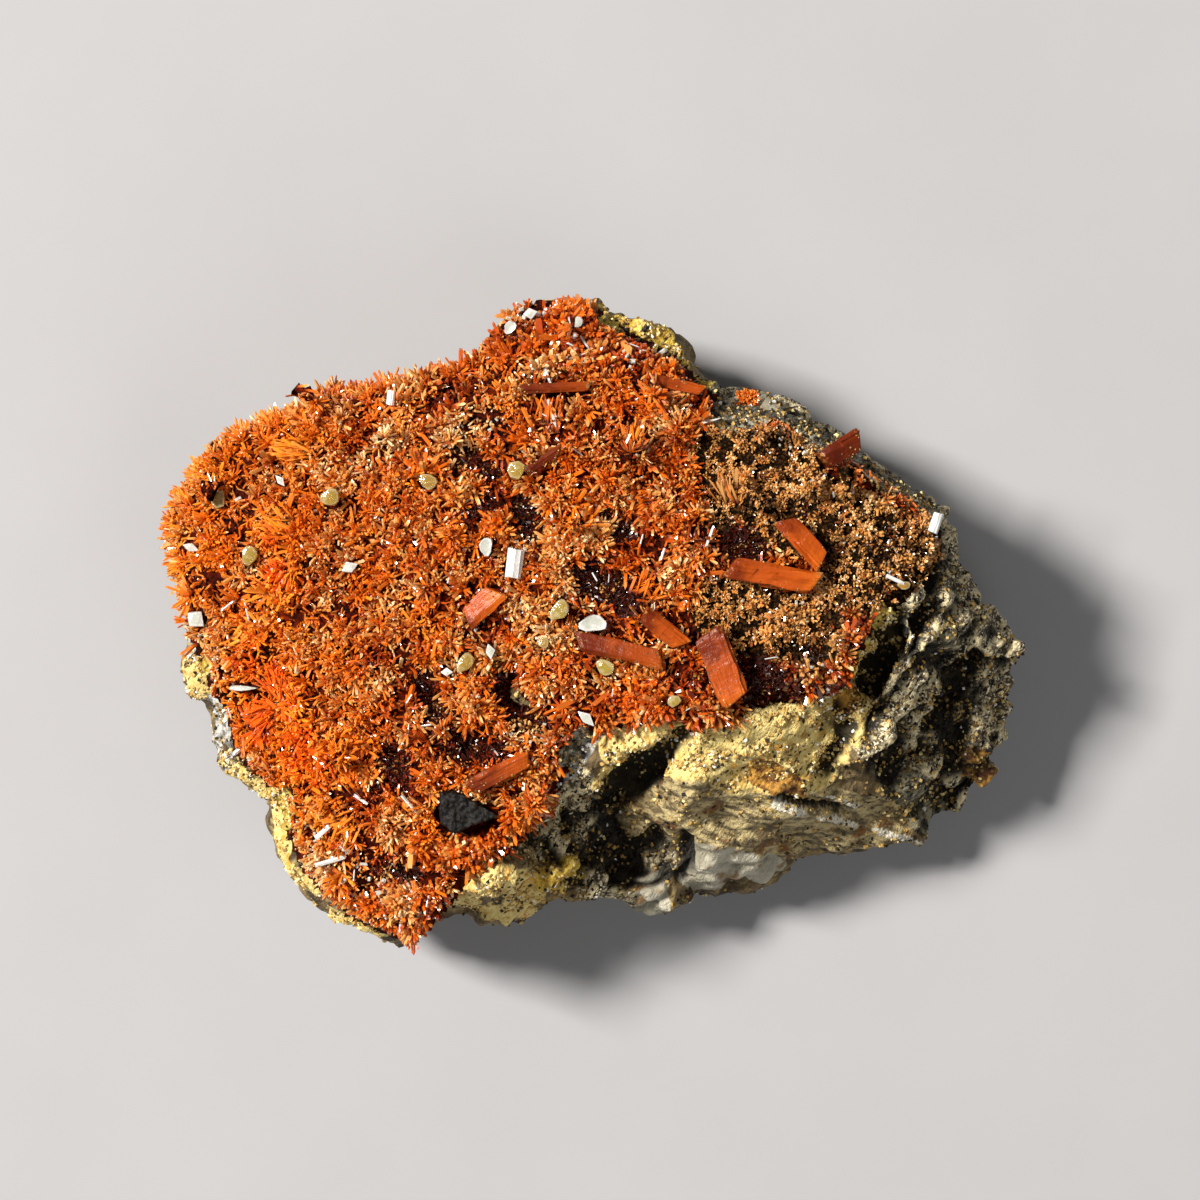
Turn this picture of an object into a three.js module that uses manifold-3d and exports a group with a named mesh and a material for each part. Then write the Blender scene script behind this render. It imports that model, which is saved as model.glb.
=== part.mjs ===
// Crocoite with cerussite on gossan: a cabinet mineral specimen, lying on its back with the crystal face up.
// A block of ochre-stained limonite carries a druse of crocoite needles. Large crocoite prisms and
// pale cerussite crystals sit in the druse. Millimetres, +Z up, origin under the middle of the block.
import * as THREE from "three";
import { mergeVertices } from "three/addons/utils/BufferGeometryUtils.js";
import { ImprovedNoise } from "three/addons/math/ImprovedNoise.js";
import Module from "manifold-3d";

const wasm = await Module();
wasm.setup();

// ---- Driving dimensions ----------------------------------------------------------------------

const HEART = [-10, 2]; // both outlines are seen whole from this point
const CROWN_HEIGHT = 33; // top of the rock under the druse
const CROWN_CENTRE = [4, 2];
const CROWN_HALF_SPAN = [48, 38];
const CROWN_FALL = [6.8, 6]; // how far the crown sinks at the ends of its half spans
const FLANK_SLOPE = 0.62; // fall of the bare rock below the druse, per millimetre
const FLANK_CURVE = 0.012; // and how that steepens
const RIM_HEIGHT = { mean: 16, swing: 4, lowestAt: -50 }; // height of the rock's widest line, degrees
const BASE_DEPTH = 4; // rock missing below the flat that it rests on
const GAP = 0.4; // clearance between minerals that have grown together
const DRUSE_THICKNESS = 2.6;
const DRUSE_WRAP = 5; // how far the druse hangs down over the rock's edge
const SPIKE_HEIGHT = 1.3; // relief of the druse's surface
const ROCK_DETAIL = 9; // each edge of the starting ball is split into this many parts and one more
const DRUSE_DETAIL = 8;
const DENSER_TOWARDS = [0.5, -0.62, 0.6]; // the rock's facets are finer on this, its bare side
const DENSER_BY = 0.3;
const DRUSE_PITCH = 8; // spacing of the mid-sized crystals that stand out of the druse
const CLEAR_SPACE = 2.4; // and the room that they leave round the single crystals
const CERUSSITE_STANDS = 0.12; // height of its axis above the druse, as a share of its thickness

// The rock's outline from above, clockwise from its left end. It is set in where the druse overhangs it.
const ROCK_EDGE = [
  [-46, 1], [-46, 5], [-48, 9], [-48, 12], [-46.5, 14.5], [-44.6, 18.6], [-41, 19.8], [-38, 21.3],
  [-35, 22], [-32, 24], [-28, 24.2], [-23, 26.3], [-19, 26.6], [-15.5, 29.8], [-13.5, 32.1],
  [-11.2, 34.8], [-8.3, 36.7], [-5, 37.7], [-2, 37.7], [0, 37.1], [2, 35.6], [3.5, 34.6], [6, 34.1],
  [8, 34.6], [9.5, 33.6], [9.9, 31.5], [11, 30], [11.4, 28], [12.7, 26.8], [15, 26.6], [18, 27.1],
  [20, 27.1], [22, 25.4], [24.5, 25.1], [25.8, 23.5], [27.2, 21.5], [30, 19.9], [34, 17.6],
  [36.5, 16], [38.6, 15.7], [40, 14.1], [41, 12.5], [41.1, 9], [41.6, 5.5], [43.5, 3.6], [47.5, 0.3],
  [49.5, -0.7], [50, -3.4], [49.2, -6.5], [48.9, -9.5], [48.1, -14], [48, -17.5], [45.7, -22],
  [43.5, -22.7], [41, -25.4], [37, -26.7], [35, -27.7], [31, -27.6], [25, -27.1], [20.3, -31.4],
  [17, -32.6], [11, -33.1], [9, -34.3], [6.4, -34.4], [4, -32.1], [-3, -31.6], [-6, -32.4],
  [-10, -35.4], [-13.5, -34.8], [-17, -33.6], [-19.4, -34.6], [-20.2, -36.8], [-21.8, -37.9],
  [-24, -37.1], [-26.5, -35.4], [-31, -33.9], [-33, -32.1], [-35, -30.1], [-36.3, -28],
  [-37.4, -24], [-37.1, -21], [-38.1, -19.1], [-40, -19.4], [-42.3, -17.4], [-45.1, -13],
  [-46.3, -11], [-45.4, -9], [-45, -7.8], [-47, -7], [-47.3, -4.6], [-49.4, -2.7], [-48.4, -1],
];

// The druse's outline from above, in the same order.
const DRUSE_EDGE = [
  [-47.6, 1], [-47.5, 5.5], [-49, 7], [-49.8, 9.5], [-49.8, 12], [-48.3, 14.5], [-46.6, 17], [-46.2, 19.7],
  [-44, 20.8], [-41, 21.2], [-39.2, 22.8], [-36, 22.9], [-34.3, 24.6], [-32, 26], [-28, 25.6],
  [-25.5, 26.8], [-23, 27.8], [-20, 27.5], [-18, 28], [-15, 29.3], [-12.9, 31.5], [-10.8, 34.3], [-8, 36.1],
  [-5, 37], [-3, 36.3], [0, 35], [2, 33.1], [4, 31.6], [7, 31], [9, 29.6], [10.3, 27.6], [12, 26.3],
  [14.6, 25.4], [15.4, 23], [18, 22.4], [20, 23.8], [22, 23.4], [25, 22.4], [27, 20.9], [30, 18.2],
  [32.5, 17.3], [34.5, 15.6], [37.2, 14.6], [39.8, 12], [40.2, 9.4], [38.9, 7.6], [36.6, 5], [34.9, 3],
  [31.7, 1.5], [30.3, -0.5], [29, -2], [28.5, -4], [28.2, -6], [26, -8], [23, -9.2], [21, -8.6],
  [18.5, -8.6], [15.7, -10], [13, -11.6], [11, -11.4], [9, -10.1], [5, -10], [2, -11], [-1.5, -12],
  [-3.2, -13.6], [-4.2, -16], [-5, -18], [-6, -21], [-7, -23.5], [-9, -25], [-12, -25.7], [-15, -27.2],
  [-17.4, -29.6], [-19.3, -33.8], [-20.6, -36], [-22.3, -36.5], [-24, -35.6], [-27, -34.1],
  [-30, -32.5], [-32.2, -30.5], [-34.2, -28], [-35.1, -25], [-35.4, -22], [-36.9, -20.5],
  [-38.1, -18.4], [-40.2, -16.3], [-42, -13.5], [-42.4, -10], [-44.2, -8], [-45.1, -5], [-46.3, -2.6],
];

// Forms of the rock beside and below the druse: a hump or hollow about a point, or along a line to a
// second point. reach is its half width and rise its height, both in millimetres.
const ROCK_FORMS = [
  { name: "ochre shoulder", from: [5, -14], to: [25, -13], reach: 5, rise: 2.6 },
  { name: "ochre rib", from: [29.6, 0.5], to: [28.6, -8.5], reach: 1.9, rise: 2.4 },
  { name: "ochre rib foot", from: [27, -9.5], to: [30, -11.5], reach: 1.8, rise: 2 },
  { name: "shaded gully", from: [32.6, 0.6], to: [29, -11], reach: 1.7, rise: -5 },
  { name: "gully mouth", from: [29, -11], to: [26.6, -16], reach: 1.7, rise: -3.6 },
  { name: "right massif", from: [36, -1], to: [46, -3.5], reach: 6, rise: 6.5 },
  { name: "massif spur", from: [34, -4], to: [31.5, -15], reach: 2.4, rise: 3.6 },
  { name: "second spur", from: [38.5, -5], to: [36, -13], reach: 1.9, rise: 2.4 },
  { name: "massif hollow", from: [41.5, -6.5], to: [43.5, -8], reach: 2, rise: -4.2 },
  { name: "spur hollow", from: [38.6, -11.5], to: [37, -17], reach: 1.5, rise: -2.6 },
  { name: "right shoulder", from: [44, -10], to: [46.5, -13], reach: 3, rise: 3 },
  { name: "rusty knob", from: [44.5, -17], to: [45.5, -19.5], reach: 2.4, rise: 4 },
  { name: "knob hollow", from: [41.3, -17.5], to: [42, -20], reach: 1.5, rise: -2.6 },
  { name: "green block", from: [37, -20], to: [39, -22.5], reach: 2.6, rise: 2.4 },
  { name: "layered step", from: [10, -20.5], to: [31, -23.5], reach: 2.6, rise: 3 },
  { name: "quartz seam", from: [20, -21], to: [35, -25], reach: 1, rise: 1.2 },
  { name: "quartz toe", from: [12, -29], to: [18, -31], reach: 2.6, rise: 3 },
  { name: "quartz point", from: [6, -31], to: [7, -33.5], reach: 1.8, rise: 3 },
  { name: "recess under the druse", from: [-4, -22], to: [3.5, -28], reach: 3.6, rise: -7 },
  { name: "recess by the shoulder", from: [3, -18.3], to: [6, -16], reach: 1.4, rise: -3 },
  { name: "ochre spine", from: [1, -18.5], to: [4, -14], reach: 1.2, rise: 1.8 },
  { name: "yellow lump", from: [-14.5, -30], to: [-11, -30], reach: 2.8, rise: 4.5 },
  { name: "small yellow lump", from: [-5, -29.6], to: [-2.8, -28.6], reach: 2, rise: 5.5 },
  { name: "crack between lumps", from: [-8.3, -27], to: [-7, -32], reach: 1.1, rise: -3.5 },
  { name: "top rim", from: [-1, 37], to: [9, 33], reach: 2, rise: 1.6 },
  { name: "left quartz bead", from: [-48.6, -2.4], reach: 1.6, rise: 1.6 },
  { name: "left ochre bead", from: [-46, -6], reach: 1.8, rise: 1.6 },
  { name: "left grey bead", from: [-44.4, -11.5], reach: 2.4, rise: 1.2 },
];

// Clumps and hollows of the druse itself.
const DRUSE_FORMS = [
  { name: "deep central vug", from: [-0.5, 4.4], to: [3, 3], reach: 2.3, rise: -3.4 },
  { name: "vug over the long prism", from: [15.3, 9], to: [17.4, 8.4], reach: 1.7, rise: -3 },
  { name: "vug by the broad blade", from: [16.7, -4.8], to: [18.6, -6.4], reach: 1.7, rise: -3 },
  { name: "right vug", from: [22.6, -3.2], to: [24.6, -3.6], reach: 1.2, rise: -2.2 },
  { name: "lower vug", from: [-19.3, -6.6], to: [-18.6, -9.4], reach: 1.6, rise: -2.6 },
  { name: "lower hollow", from: [-10, -7.4], to: [-7.5, -11], reach: 2.2, rise: -2.6 },
  { name: "hollow above the chip", from: [-16.5, -13.6], to: [-12, -14.6], reach: 1.7, rise: -2.6 },
  { name: "hollow left of the chip", from: [-23.4, -14.8], to: [-22, -18.6], reach: 1.7, rise: -2.2 },
  { name: "hollow in the neck", from: [-15.5, 18.8], to: [-12.6, 17.4], reach: 1.9, rise: -2.2 },
  { name: "middle hollow", from: [-9, 13.6], to: [-7.4, 9.6], reach: 1.5, rise: -2.2 },
  { name: "hollow in the crown lobe", from: [-7, 31.5], to: [-4, 33.6], reach: 1.8, rise: -2 },
  { name: "upper left hollow", from: [-32, 19.6], to: [-31, 21.4], reach: 1.4, rise: -1.8 },
  { name: "lower lobe hollow", from: [-25, -28.2], to: [-21.5, -28.8], reach: 1.4, rise: -2.4 },
  { name: "right hand hollow", from: [31, 7.8], to: [32.4, 7.4], reach: 1.2, rise: -1.8 },
  { name: "small middle hollow", from: [1, 12.4], to: [2.4, 11], reach: 1.5, rise: -2 },
  { name: "middle clump", from: [-5, 14.5], to: [-4.5, 4.5], reach: 2.2, rise: 1.3 },
  { name: "right clump", from: [6.5, 9], to: [8, 4], reach: 2.8, rise: 1.3 },
  { name: "left clump", from: [-40, -5], to: [-36.5, -9], reach: 3, rise: 1.5 },
  { name: "lower left clump", from: [-33, -12], to: [-27, -14], reach: 3, rise: 1 },
  { name: "brown bank", from: [19, 17], to: [29, 10], reach: 4, rise: 1 },
  { name: "brown mound", from: [14, 2], to: [20, -1], reach: 3, rise: 1.2 },
];

// Large single prisms: the two ends of each, its width and thickness, and how far its axis stands off the
// druse at those two ends.
const PRISMS = [
  { name: "long_prism", ends: [[13.8, 6.5], [24.9, 4.5]], width: 2.7, thick: 2.2, stand: [0.7, 0.8] },
  { name: "slanting_prism", ends: [[20.2, 12.2], [25.2, 6.6]], width: 2.6, thick: 2, stand: [0.6, 1.4] },
  { name: "rim_prism", ends: [[24.8, 18.2], [29.6, 21.1]], width: 2.6, thick: 2.2, stand: [0.9, 2.2] },
  { name: "broad_blade", ends: [[11.9, -0.4], [15.4, -9.2]], width: 3.8, thick: 1.8, stand: [0.5, 1.4] },
  { name: "short_blade", ends: [[4.6, 1.4], [9.7, -2.7]], width: 2.3, thick: 1.7, stand: [0.7, 0.6] },
  { name: "flat_prism", ends: [[-3.2, -1.7], [7.5, -4.1]], width: 2.4, thick: 1.8, stand: [0.5, 0.9] },
  { name: "lower_prism", ends: [[-15, -18.6], [-7.6, -14.8]], width: 2.1, thick: 1.9, stand: [0.7, 0.7] },
  { name: "bright_blade", ends: [[-15.3, 0.2], [-11, 4.1]], width: 2.7, thick: 1.3, stand: [0.7, 1.1] },
  { name: "thin_upper_prism", ends: [[-9.2, 26.4], [-0.8, 26.8]], width: 1.2, thick: 1.2, stand: [0.5, 0.5] },
  { name: "upper_right_prism", ends: [[5.6, 27.7], [12, 26.2]], width: 1.3, thick: 1.2, stand: [0.5, 0.7] },
  { name: "slender_prism", ends: [[-8.4, 16.9], [-4.2, 19.9]], width: 1, thick: 1, stand: [0.4, 0.5] },
];

// Cerussite: centre, length and width seen from above, thickness, and the angle of its length from +X.
const CERUSSITES = [
  { at: [-43.4, 14.2], size: [2.1, 1.8], thick: 1.2, turn: 60 },
  { at: [-30.4, 14.2], size: [2.4, 2.0], thick: 1.4, turn: 20 },
  { at: [-19.4, 16], size: [2.4, 1.8], thick: 1.4, turn: -10 },
  { at: [-9.3, 17.3], size: [2.2, 2.1], thick: 1.3, turn: 30 },
  { at: [-39.7, 7.7], size: [2.4, 1.9], thick: 1.4, turn: 75 },
  { at: [-12.8, 8.7], size: [2.2, 1.5], thick: 1.2, turn: 80 },
  { at: [-9.6, 6.8], size: [3.3, 1.9], thick: 1.7, turn: 82 },
  { at: [-28.2, 6.4], size: [2, 1.4], thick: 1.2, turn: 25 },
  { at: [-4.5, 1.5], size: [2.7, 1.9], thick: 1.2, turn: 65 },
  { at: [-0.8, 0.1], size: [3.3, 1.9], thick: 1.7, turn: 0 },
  { at: [-17.2, -5.4], size: [1.4, 1], thick: 1, turn: 0 },
  { at: [-15.1, -4.4], size: [2.6, 1.8], thick: 1.4, turn: 65 },
  { at: [-12.3, -3.1], size: [1.8, 1.1], thick: 1.1, turn: 100 },
  { at: [-6.4, -2.1], size: [1.4, 1.3], thick: 1.1, turn: 0 },
  { at: [0.5, -4.9], size: [2.2, 1.9], thick: 1.4, turn: -12 },
  { at: [8.3, -8.6], size: [1.6, 1.4], thick: 1.1, turn: 0 },
  { at: [38, 11.4], size: [2.4, 1.2], thick: 1.2, turn: 70 },
  { at: [34.2, 4.3], size: [1.5, 1], thick: 1, turn: 10 },
  { at: [-46, 0.5], size: [2.5, 2.1], thick: 1.5, turn: -40 },
  { at: [-40.4, -7.3], size: [3.4, 1.2], thick: 1.2, turn: 0 },
  { at: [-1.5, -10.6], size: [2.5, 1.2], thick: 1.2, turn: -42 },
  { at: [-23.7, 25.6], size: [1.7, 0.9], thick: 0.9, turn: 85 },
  { at: [-46.6, 8.7], size: [2, 1.1], thick: 1.1, turn: -20 },
  { at: [-10.2, 33.6], size: [1.7, 1.3], thick: 1.1, turn: 40 },
  { at: [-7.9, 35.2], size: [1.7, 1.3], thick: 1.1, turn: 10 },
  { at: [-2.8, 34.2], size: [1.8, 1.4], thick: 1.2, turn: -20 },
  { at: [-36.2, 16.2], size: [1.7, 0.8], thick: 0.9, turn: -50 },
];

const CHIP_OUTLINE = [[-18, -19], [-15.8, -19], [-11.6, -21.6], [-14.2, -22.6], [-16.2, -23.6], [-18, -22.4]];
const CHIP_THICKNESS = 2.6;

// A small tuft of crocoite on the bare rock by the top edge: crystals from a root to their tips.
const TUFT_ROOT = [16.8, 25.2];
const TUFT_TIPS = [[15.4, 26.1], [16.9, 26.7], [18.3, 25.9]];
const TUFT_CRYSTAL = { width: 1.2, thick: 1, sides: 4, taper: 0.3, blunt: 0.3 };

// ---- Numbers from noise ----------------------------------------------------------------------

const perlin = new ImprovedNoise();
const noise = (x, y, z, scale) => perlin.noise(x / scale + 31.7, y / scale + 57.3, z / scale + 11.9);
// A repeatable number from 0 to 1 for the i-th thing of a kind.
const chance = (i, kind) => {
  const s = Math.sin(i * 127.1 + kind * 311.7) * 43758.5453;
  return s - Math.floor(s);
};

// ---- Outlines and heights --------------------------------------------------------------------

const degrees = THREE.MathUtils.degToRad;

// How far the edge is from HEART in the direction of an angle.
function edgeRadius(edge, angle) {
  const [dx, dy] = [Math.cos(angle), Math.sin(angle)];
  let radius = 0;
  edge.forEach(([ax, ay], i) => {
    const [bx, by] = edge[(i + 1) % edge.length];
    const [px, py] = [ax - HEART[0], ay - HEART[1]];
    const [ex, ey] = [bx - ax, by - ay];
    const cross = dx * ey - dy * ex;
    if (Math.abs(cross) < 1e-9) return;
    const along = (px * ey - py * ex) / cross;
    const share = (px * dy - py * dx) / cross;
    if (along > radius && share >= -1e-9 && share <= 1 + 1e-9) radius = along;
  });
  return radius;
}

function distanceToSegment(x, y, [ax, ay], [bx, by]) {
  const [ex, ey] = [bx - ax, by - ay];
  const length2 = ex * ex + ey * ey || 1;
  const share = THREE.MathUtils.clamp(((x - ax) * ex + (y - ay) * ey) / length2, 0, 1);
  return Math.hypot(x - ax - share * ex, y - ay - share * ey);
}

// Distance out from the druse's edge, 0 on the druse.
function distanceFromDruse(x, y) {
  const angle = Math.atan2(y - HEART[1], x - HEART[0]);
  const radius = Math.hypot(x - HEART[0], y - HEART[1]);
  if (radius <= edgeRadius(DRUSE_EDGE, angle)) return 0;
  return Math.min(
    ...DRUSE_EDGE.map((a, i) => distanceToSegment(x, y, a, DRUSE_EDGE[(i + 1) % DRUSE_EDGE.length])),
  );
}

const formsAt = (forms, x, y) =>
  forms.reduce((sum, { from, to = from, reach, rise }) => {
    const away = distanceToSegment(x, y, from, to) / reach;
    return sum + rise * Math.exp(-away * away);
  }, 0);

function rockTop(x, y) {
  const u = (x - CROWN_CENTRE[0]) / CROWN_HALF_SPAN[0];
  const v = (y - CROWN_CENTRE[1]) / CROWN_HALF_SPAN[1];
  const crown = CROWN_HEIGHT - CROWN_FALL[0] * u * u - CROWN_FALL[1] * v * v;
  const away = distanceFromDruse(x, y);
  return crown - FLANK_SLOPE * away - FLANK_CURVE * away * away + formsAt(ROCK_FORMS, x, y);
}

const druseTop = (x, y) => rockTop(x, y) + DRUSE_THICKNESS + formsAt(DRUSE_FORMS, x, y);

const rimHeight = (angle) =>
  RIM_HEIGHT.mean - RIM_HEIGHT.swing * Math.cos(angle - degrees(RIM_HEIGHT.lowestAt));

// ---- Solids ----------------------------------------------------------------------------------

function toSolid(geometry) {
  geometry.deleteAttribute("normal");
  geometry.deleteAttribute("uv");
  const merged = mergeVertices(geometry, 1e-5);
  const vertProperties = new Float32Array(merged.attributes.position.array);
  const triVerts = new Uint32Array(merged.index.array);
  return new wasm.Manifold(new wasm.Mesh({ numProp: 3, vertProperties, triVerts }));
}

function toGeometry(solid) {
  const { vertProperties, triVerts } = solid.getMesh();
  const geometry = new THREE.BufferGeometry();
  geometry.setAttribute("position", new THREE.BufferAttribute(vertProperties, 3));
  geometry.setIndex(new THREE.BufferAttribute(triVerts, 1));
  return geometry;
}

// The biggest of the bodies that a cut has left.
function largest(solid) {
  return solid.decompose().reduce((best, body) => (body.volume() > best.volume() ? body : best));
}

// A ball of even triangles whose every point is moved by place(direction, index).
function mappedBall(detail, place) {
  const ball = new THREE.IcosahedronGeometry(1, detail);
  ball.deleteAttribute("normal");
  ball.deleteAttribute("uv");
  const merged = mergeVertices(ball, 1e-4);
  const points = merged.attributes.position;
  const direction = new THREE.Vector3();
  for (let i = 0; i < points.count; i += 1) {
    direction.fromBufferAttribute(points, i).normalize();
    points.setXYZ(i, ...place(direction, i));
  }
  return merged;
}

// A direction gives a place: the angle about HEART, the share of the way out to an upright band along
// the edge, how far along that way and down the band it is, and whether it is on the upper side.
function spread(direction, band) {
  const angle = Math.atan2(direction.y, direction.x);
  const tilt = Math.acos(THREE.MathUtils.clamp(direction.z, -1, 1)) / (Math.PI / 2);
  const way = tilt <= 1 ? tilt : 2 - tilt;
  return { angle, way, share: Math.min(1, way / (1 - band)), upper: tilt <= 1 };
}

function placeAt(edge, angle, share) {
  const radius = edgeRadius(edge, angle) * share;
  return [HEART[0] + radius * Math.cos(angle), HEART[1] + radius * Math.sin(angle)];
}

// A cushion-like profile: 1 in the middle and 0 at the edge, squarer as power rises.
const cushion = (share, power) => Math.max(0, 1 - share ** power) ** (1 / power);

// The rock, grown by some clearance where another piece is to be cut to fit it.
function rockGeometry(clearance = 0) {
  const bias = new THREE.Vector3(...DENSER_TOWARDS).normalize().multiplyScalar(DENSER_BY);
  return mappedBall(ROCK_DETAIL, (ball) => {
    const { angle, way, share, upper } = spread(ball.clone().add(bias).normalize(), 0.05);
    const [x, y] = placeAt(ROCK_EDGE, angle, share);
    const rim = rimHeight(angle);
    const z = upper
      ? rim + (rockTop(x, y) - rim) * cushion(way, 5)
      : rim - (rim + BASE_DEPTH) * cushion(way, 2.3);
    const bare = upper ? Math.min(1, 0.2 + distanceFromDruse(x, y) / 3) : 1;
    const lump = bare * (3.4 * noise(x, y, z, 9) + 2.4 * noise(x, y, z, 4.3));
    const out = share ** 3 * (0.4 * lump + clearance);
    const rise = upper ? lump + clearance : -0.6 * lump - clearance;
    return [x + out * Math.cos(angle), y + out * Math.sin(angle), z + rise];
  });
}

function druseGeometry() {
  return mappedBall(DRUSE_DETAIL, (direction, i) => {
    const { angle, way, share, upper } = spread(direction, 0.07);
    const [x, y] = placeAt(DRUSE_EDGE, angle, share);
    const rim = rockTop(x, y) - DRUSE_WRAP;
    const relief = SPIKE_HEIGHT * (chance(i, 1) - 0.3) + 1.4 * noise(x, y, 0, 5);
    const out = share ** 6 * 0.9 * (chance(i, 6) - 0.5);
    const z = upper
      ? rim + (druseTop(x, y) + relief - rim) * cushion(way, 7)
      : rim - DRUSE_WRAP * cushion(way, 2);
    return [x + out * Math.cos(angle), y + out * Math.sin(angle), z];
  });
}

// A crystal along +Z, centred on its middle: a many-sided section of the given width and thickness that
// narrows to blunt over the last part of its length, at both ends.
function crystalGeometry({ length, width, thick, sides = 6, taper = 0.16, blunt = 0.35 }) {
  const turn = sides === 6 ? 0 : Math.PI / sides;
  const section = Array.from({ length: sides }, (_, i) => {
    const angle = (i / sides) * Math.PI * 2 + turn;
    return [Math.cos(angle), Math.sin(angle)];
  });
  const reach = [0, 1].map((axis) => Math.max(...section.map((corner) => corner[axis])));
  const levels = [
    [-length / 2, blunt],
    [(taper - 0.5) * length, 1],
    [(0.5 - taper) * length, 1],
    [length / 2, blunt],
  ];
  const points = levels.flatMap(([z, scale]) =>
    section.flatMap(([x, y]) => [(x * scale * width) / 2 / reach[0], (y * scale * thick) / 2 / reach[1], z]),
  );
  const faces = [];
  for (let level = 0; level < levels.length - 1; level += 1) {
    for (let i = 0; i < sides; i += 1) {
      const [a, b] = [level * sides + i, level * sides + ((i + 1) % sides)];
      faces.push(a, b, b + sides, a, b + sides, a + sides);
    }
  }
  const top = (levels.length - 1) * sides;
  for (let i = 1; i < sides - 1; i += 1) faces.push(0, i + 1, i, top, top + i, top + i + 1);
  const geometry = new THREE.BufferGeometry();
  geometry.setAttribute("position", new THREE.Float32BufferAttribute(points, 3));
  geometry.setIndex(faces);
  return geometry;
}

// Lays a crystal's length from one point to another, with its width level and its thickness upright.
function layAlong(start, end) {
  const length = new THREE.Vector3().subVectors(end, start).normalize();
  const width = new THREE.Vector3(0, 0, 1).cross(length).normalize();
  const thick = new THREE.Vector3().crossVectors(length, width);
  const matrix = new THREE.Matrix4().makeBasis(width, thick, length);
  return matrix.setPosition(new THREE.Vector3().addVectors(start, end).multiplyScalar(0.5));
}

// ---- Druse -----------------------------------------------------------------------------------

// Sites for mid-sized crystals, on a loose triangular grid and clear of the single crystals.
function druseSites() {
  const singles = [...PRISMS.map(({ ends }) => ends), ...CERUSSITES.map(({ at }) => [at, at])];
  const [columns, rows] = [Math.ceil(100 / DRUSE_PITCH), Math.ceil(80 / DRUSE_PITCH / 0.866)];
  return Array.from({ length: columns * rows }, (_, i) => {
    const [column, row] = [i % columns, Math.floor(i / columns)];
    const x = -50 + (column + (row % 2) / 2 + 0.6 * (chance(i, 8) - 0.5)) * DRUSE_PITCH;
    const y = -39 + (row * 0.866 + 0.6 * (chance(i, 9) - 0.5)) * DRUSE_PITCH;
    return [x, y];
  }).filter(([x, y]) => {
    const angle = Math.atan2(y - HEART[1], x - HEART[0]);
    const inside = Math.hypot(x - HEART[0], y - HEART[1]) < edgeRadius(DRUSE_EDGE, angle) - 2;
    return inside && singles.every(([a, b]) => distanceToSegment(x, y, a, b) > CLEAR_SPACE);
  });
}

// Mid-sized crystals stand out of the druse, each leaning its own way.
const druseCrystals = () =>
  druseSites().map(([x, y], i) => {
    const length = THREE.MathUtils.lerp(4, 8, chance(i, 2));
    const width = THREE.MathUtils.lerp(1.1, 2.1, chance(i, 3));
    const heading = chance(i, 4) * Math.PI * 2;
    const lift = degrees(THREE.MathUtils.lerp(10, 55, chance(i, 5)));
    const along = new THREE.Vector3(
      Math.cos(heading) * Math.cos(lift),
      Math.sin(heading) * Math.cos(lift),
      Math.sin(lift),
    );
    const root = new THREE.Vector3(x, y, druseTop(x, y) + 0.2).addScaledVector(along, -0.35 * length);
    const tip = root.clone().addScaledVector(along, length);
    const size = { length, width, thick: 0.8 * width, sides: 4, taper: 0.2, blunt: 0.2 };
    return toSolid(crystalGeometry(size).applyMatrix4(layAlong(root, tip)));
  });

function druseSolid() {
  const sheet = druseCrystals().reduce((sum, crystal) => sum.add(crystal), toSolid(druseGeometry()));
  return largest(sheet.subtract(toSolid(rockGeometry(GAP))));
}

// ---- Crystals laid on the druse --------------------------------------------------------------

// Finds the height of a solid's surface under a point.
function surfaceOf(solid) {
  const mesh = new THREE.Mesh(toGeometry(solid), new THREE.MeshBasicMaterial());
  const ray = new THREE.Raycaster();
  return (x, y) => {
    ray.set(new THREE.Vector3(x, y, 100), new THREE.Vector3(0, 0, -1));
    const [hit] = ray.intersectObject(mesh);
    return hit ? hit.point.z : druseTop(x, y) - 1;
  };
}

function prismPiece({ name, ends, width, thick, stand }, heightAt) {
  const [start, end] = ends.map(([x, y], i) => new THREE.Vector3(x, y, heightAt(x, y) + stand[i]));
  const size = { length: start.distanceTo(end), width, thick, sides: 6, taper: 0.07, blunt: 0.45 };
  return { name: `crocoite_${name}`, size, matrix: layAlong(start, end), finish: "crocoite" };
}

function cerussitePiece({ at: [x, y], size: [length, width], thick, turn }, i, heightAt) {
  const angle = degrees(turn);
  const half = new THREE.Vector3(Math.cos(angle), Math.sin(angle), 0).multiplyScalar(length / 2);
  const tip = [-1, 1].map((side) => [x + 0.6 * side * half.x, y + 0.6 * side * half.y]);
  const heights = [...tip, [x, y]].map(([px, py]) => heightAt(px, py));
  const z = heights.reduce((sum, height) => sum + height) / heights.length + thick * CERUSSITE_STANDS;
  const centre = new THREE.Vector3(x, y, z);
  const [start, end] = [centre.clone().sub(half), centre.clone().add(half)];
  start.z -= 0.12 * length * (chance(i, 7) - 0.5);
  const size = { length, width, thick, sides: width > 1.7 ? 6 : 4, taper: 0.24, blunt: 0.5 };
  const name = `cerussite_${String(i + 1).padStart(2, "0")}`;
  return { name, size, matrix: layAlong(start, end), finish: "cerussite" };
}

// The plain socket that a crystal sits in.
function socketFor({ size: { width, thick, length }, matrix }) {
  const sides = [width, thick, length].map((side) => side + 2 * GAP);
  return toSolid(new THREE.BoxGeometry(...sides).applyMatrix4(matrix));
}

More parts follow.
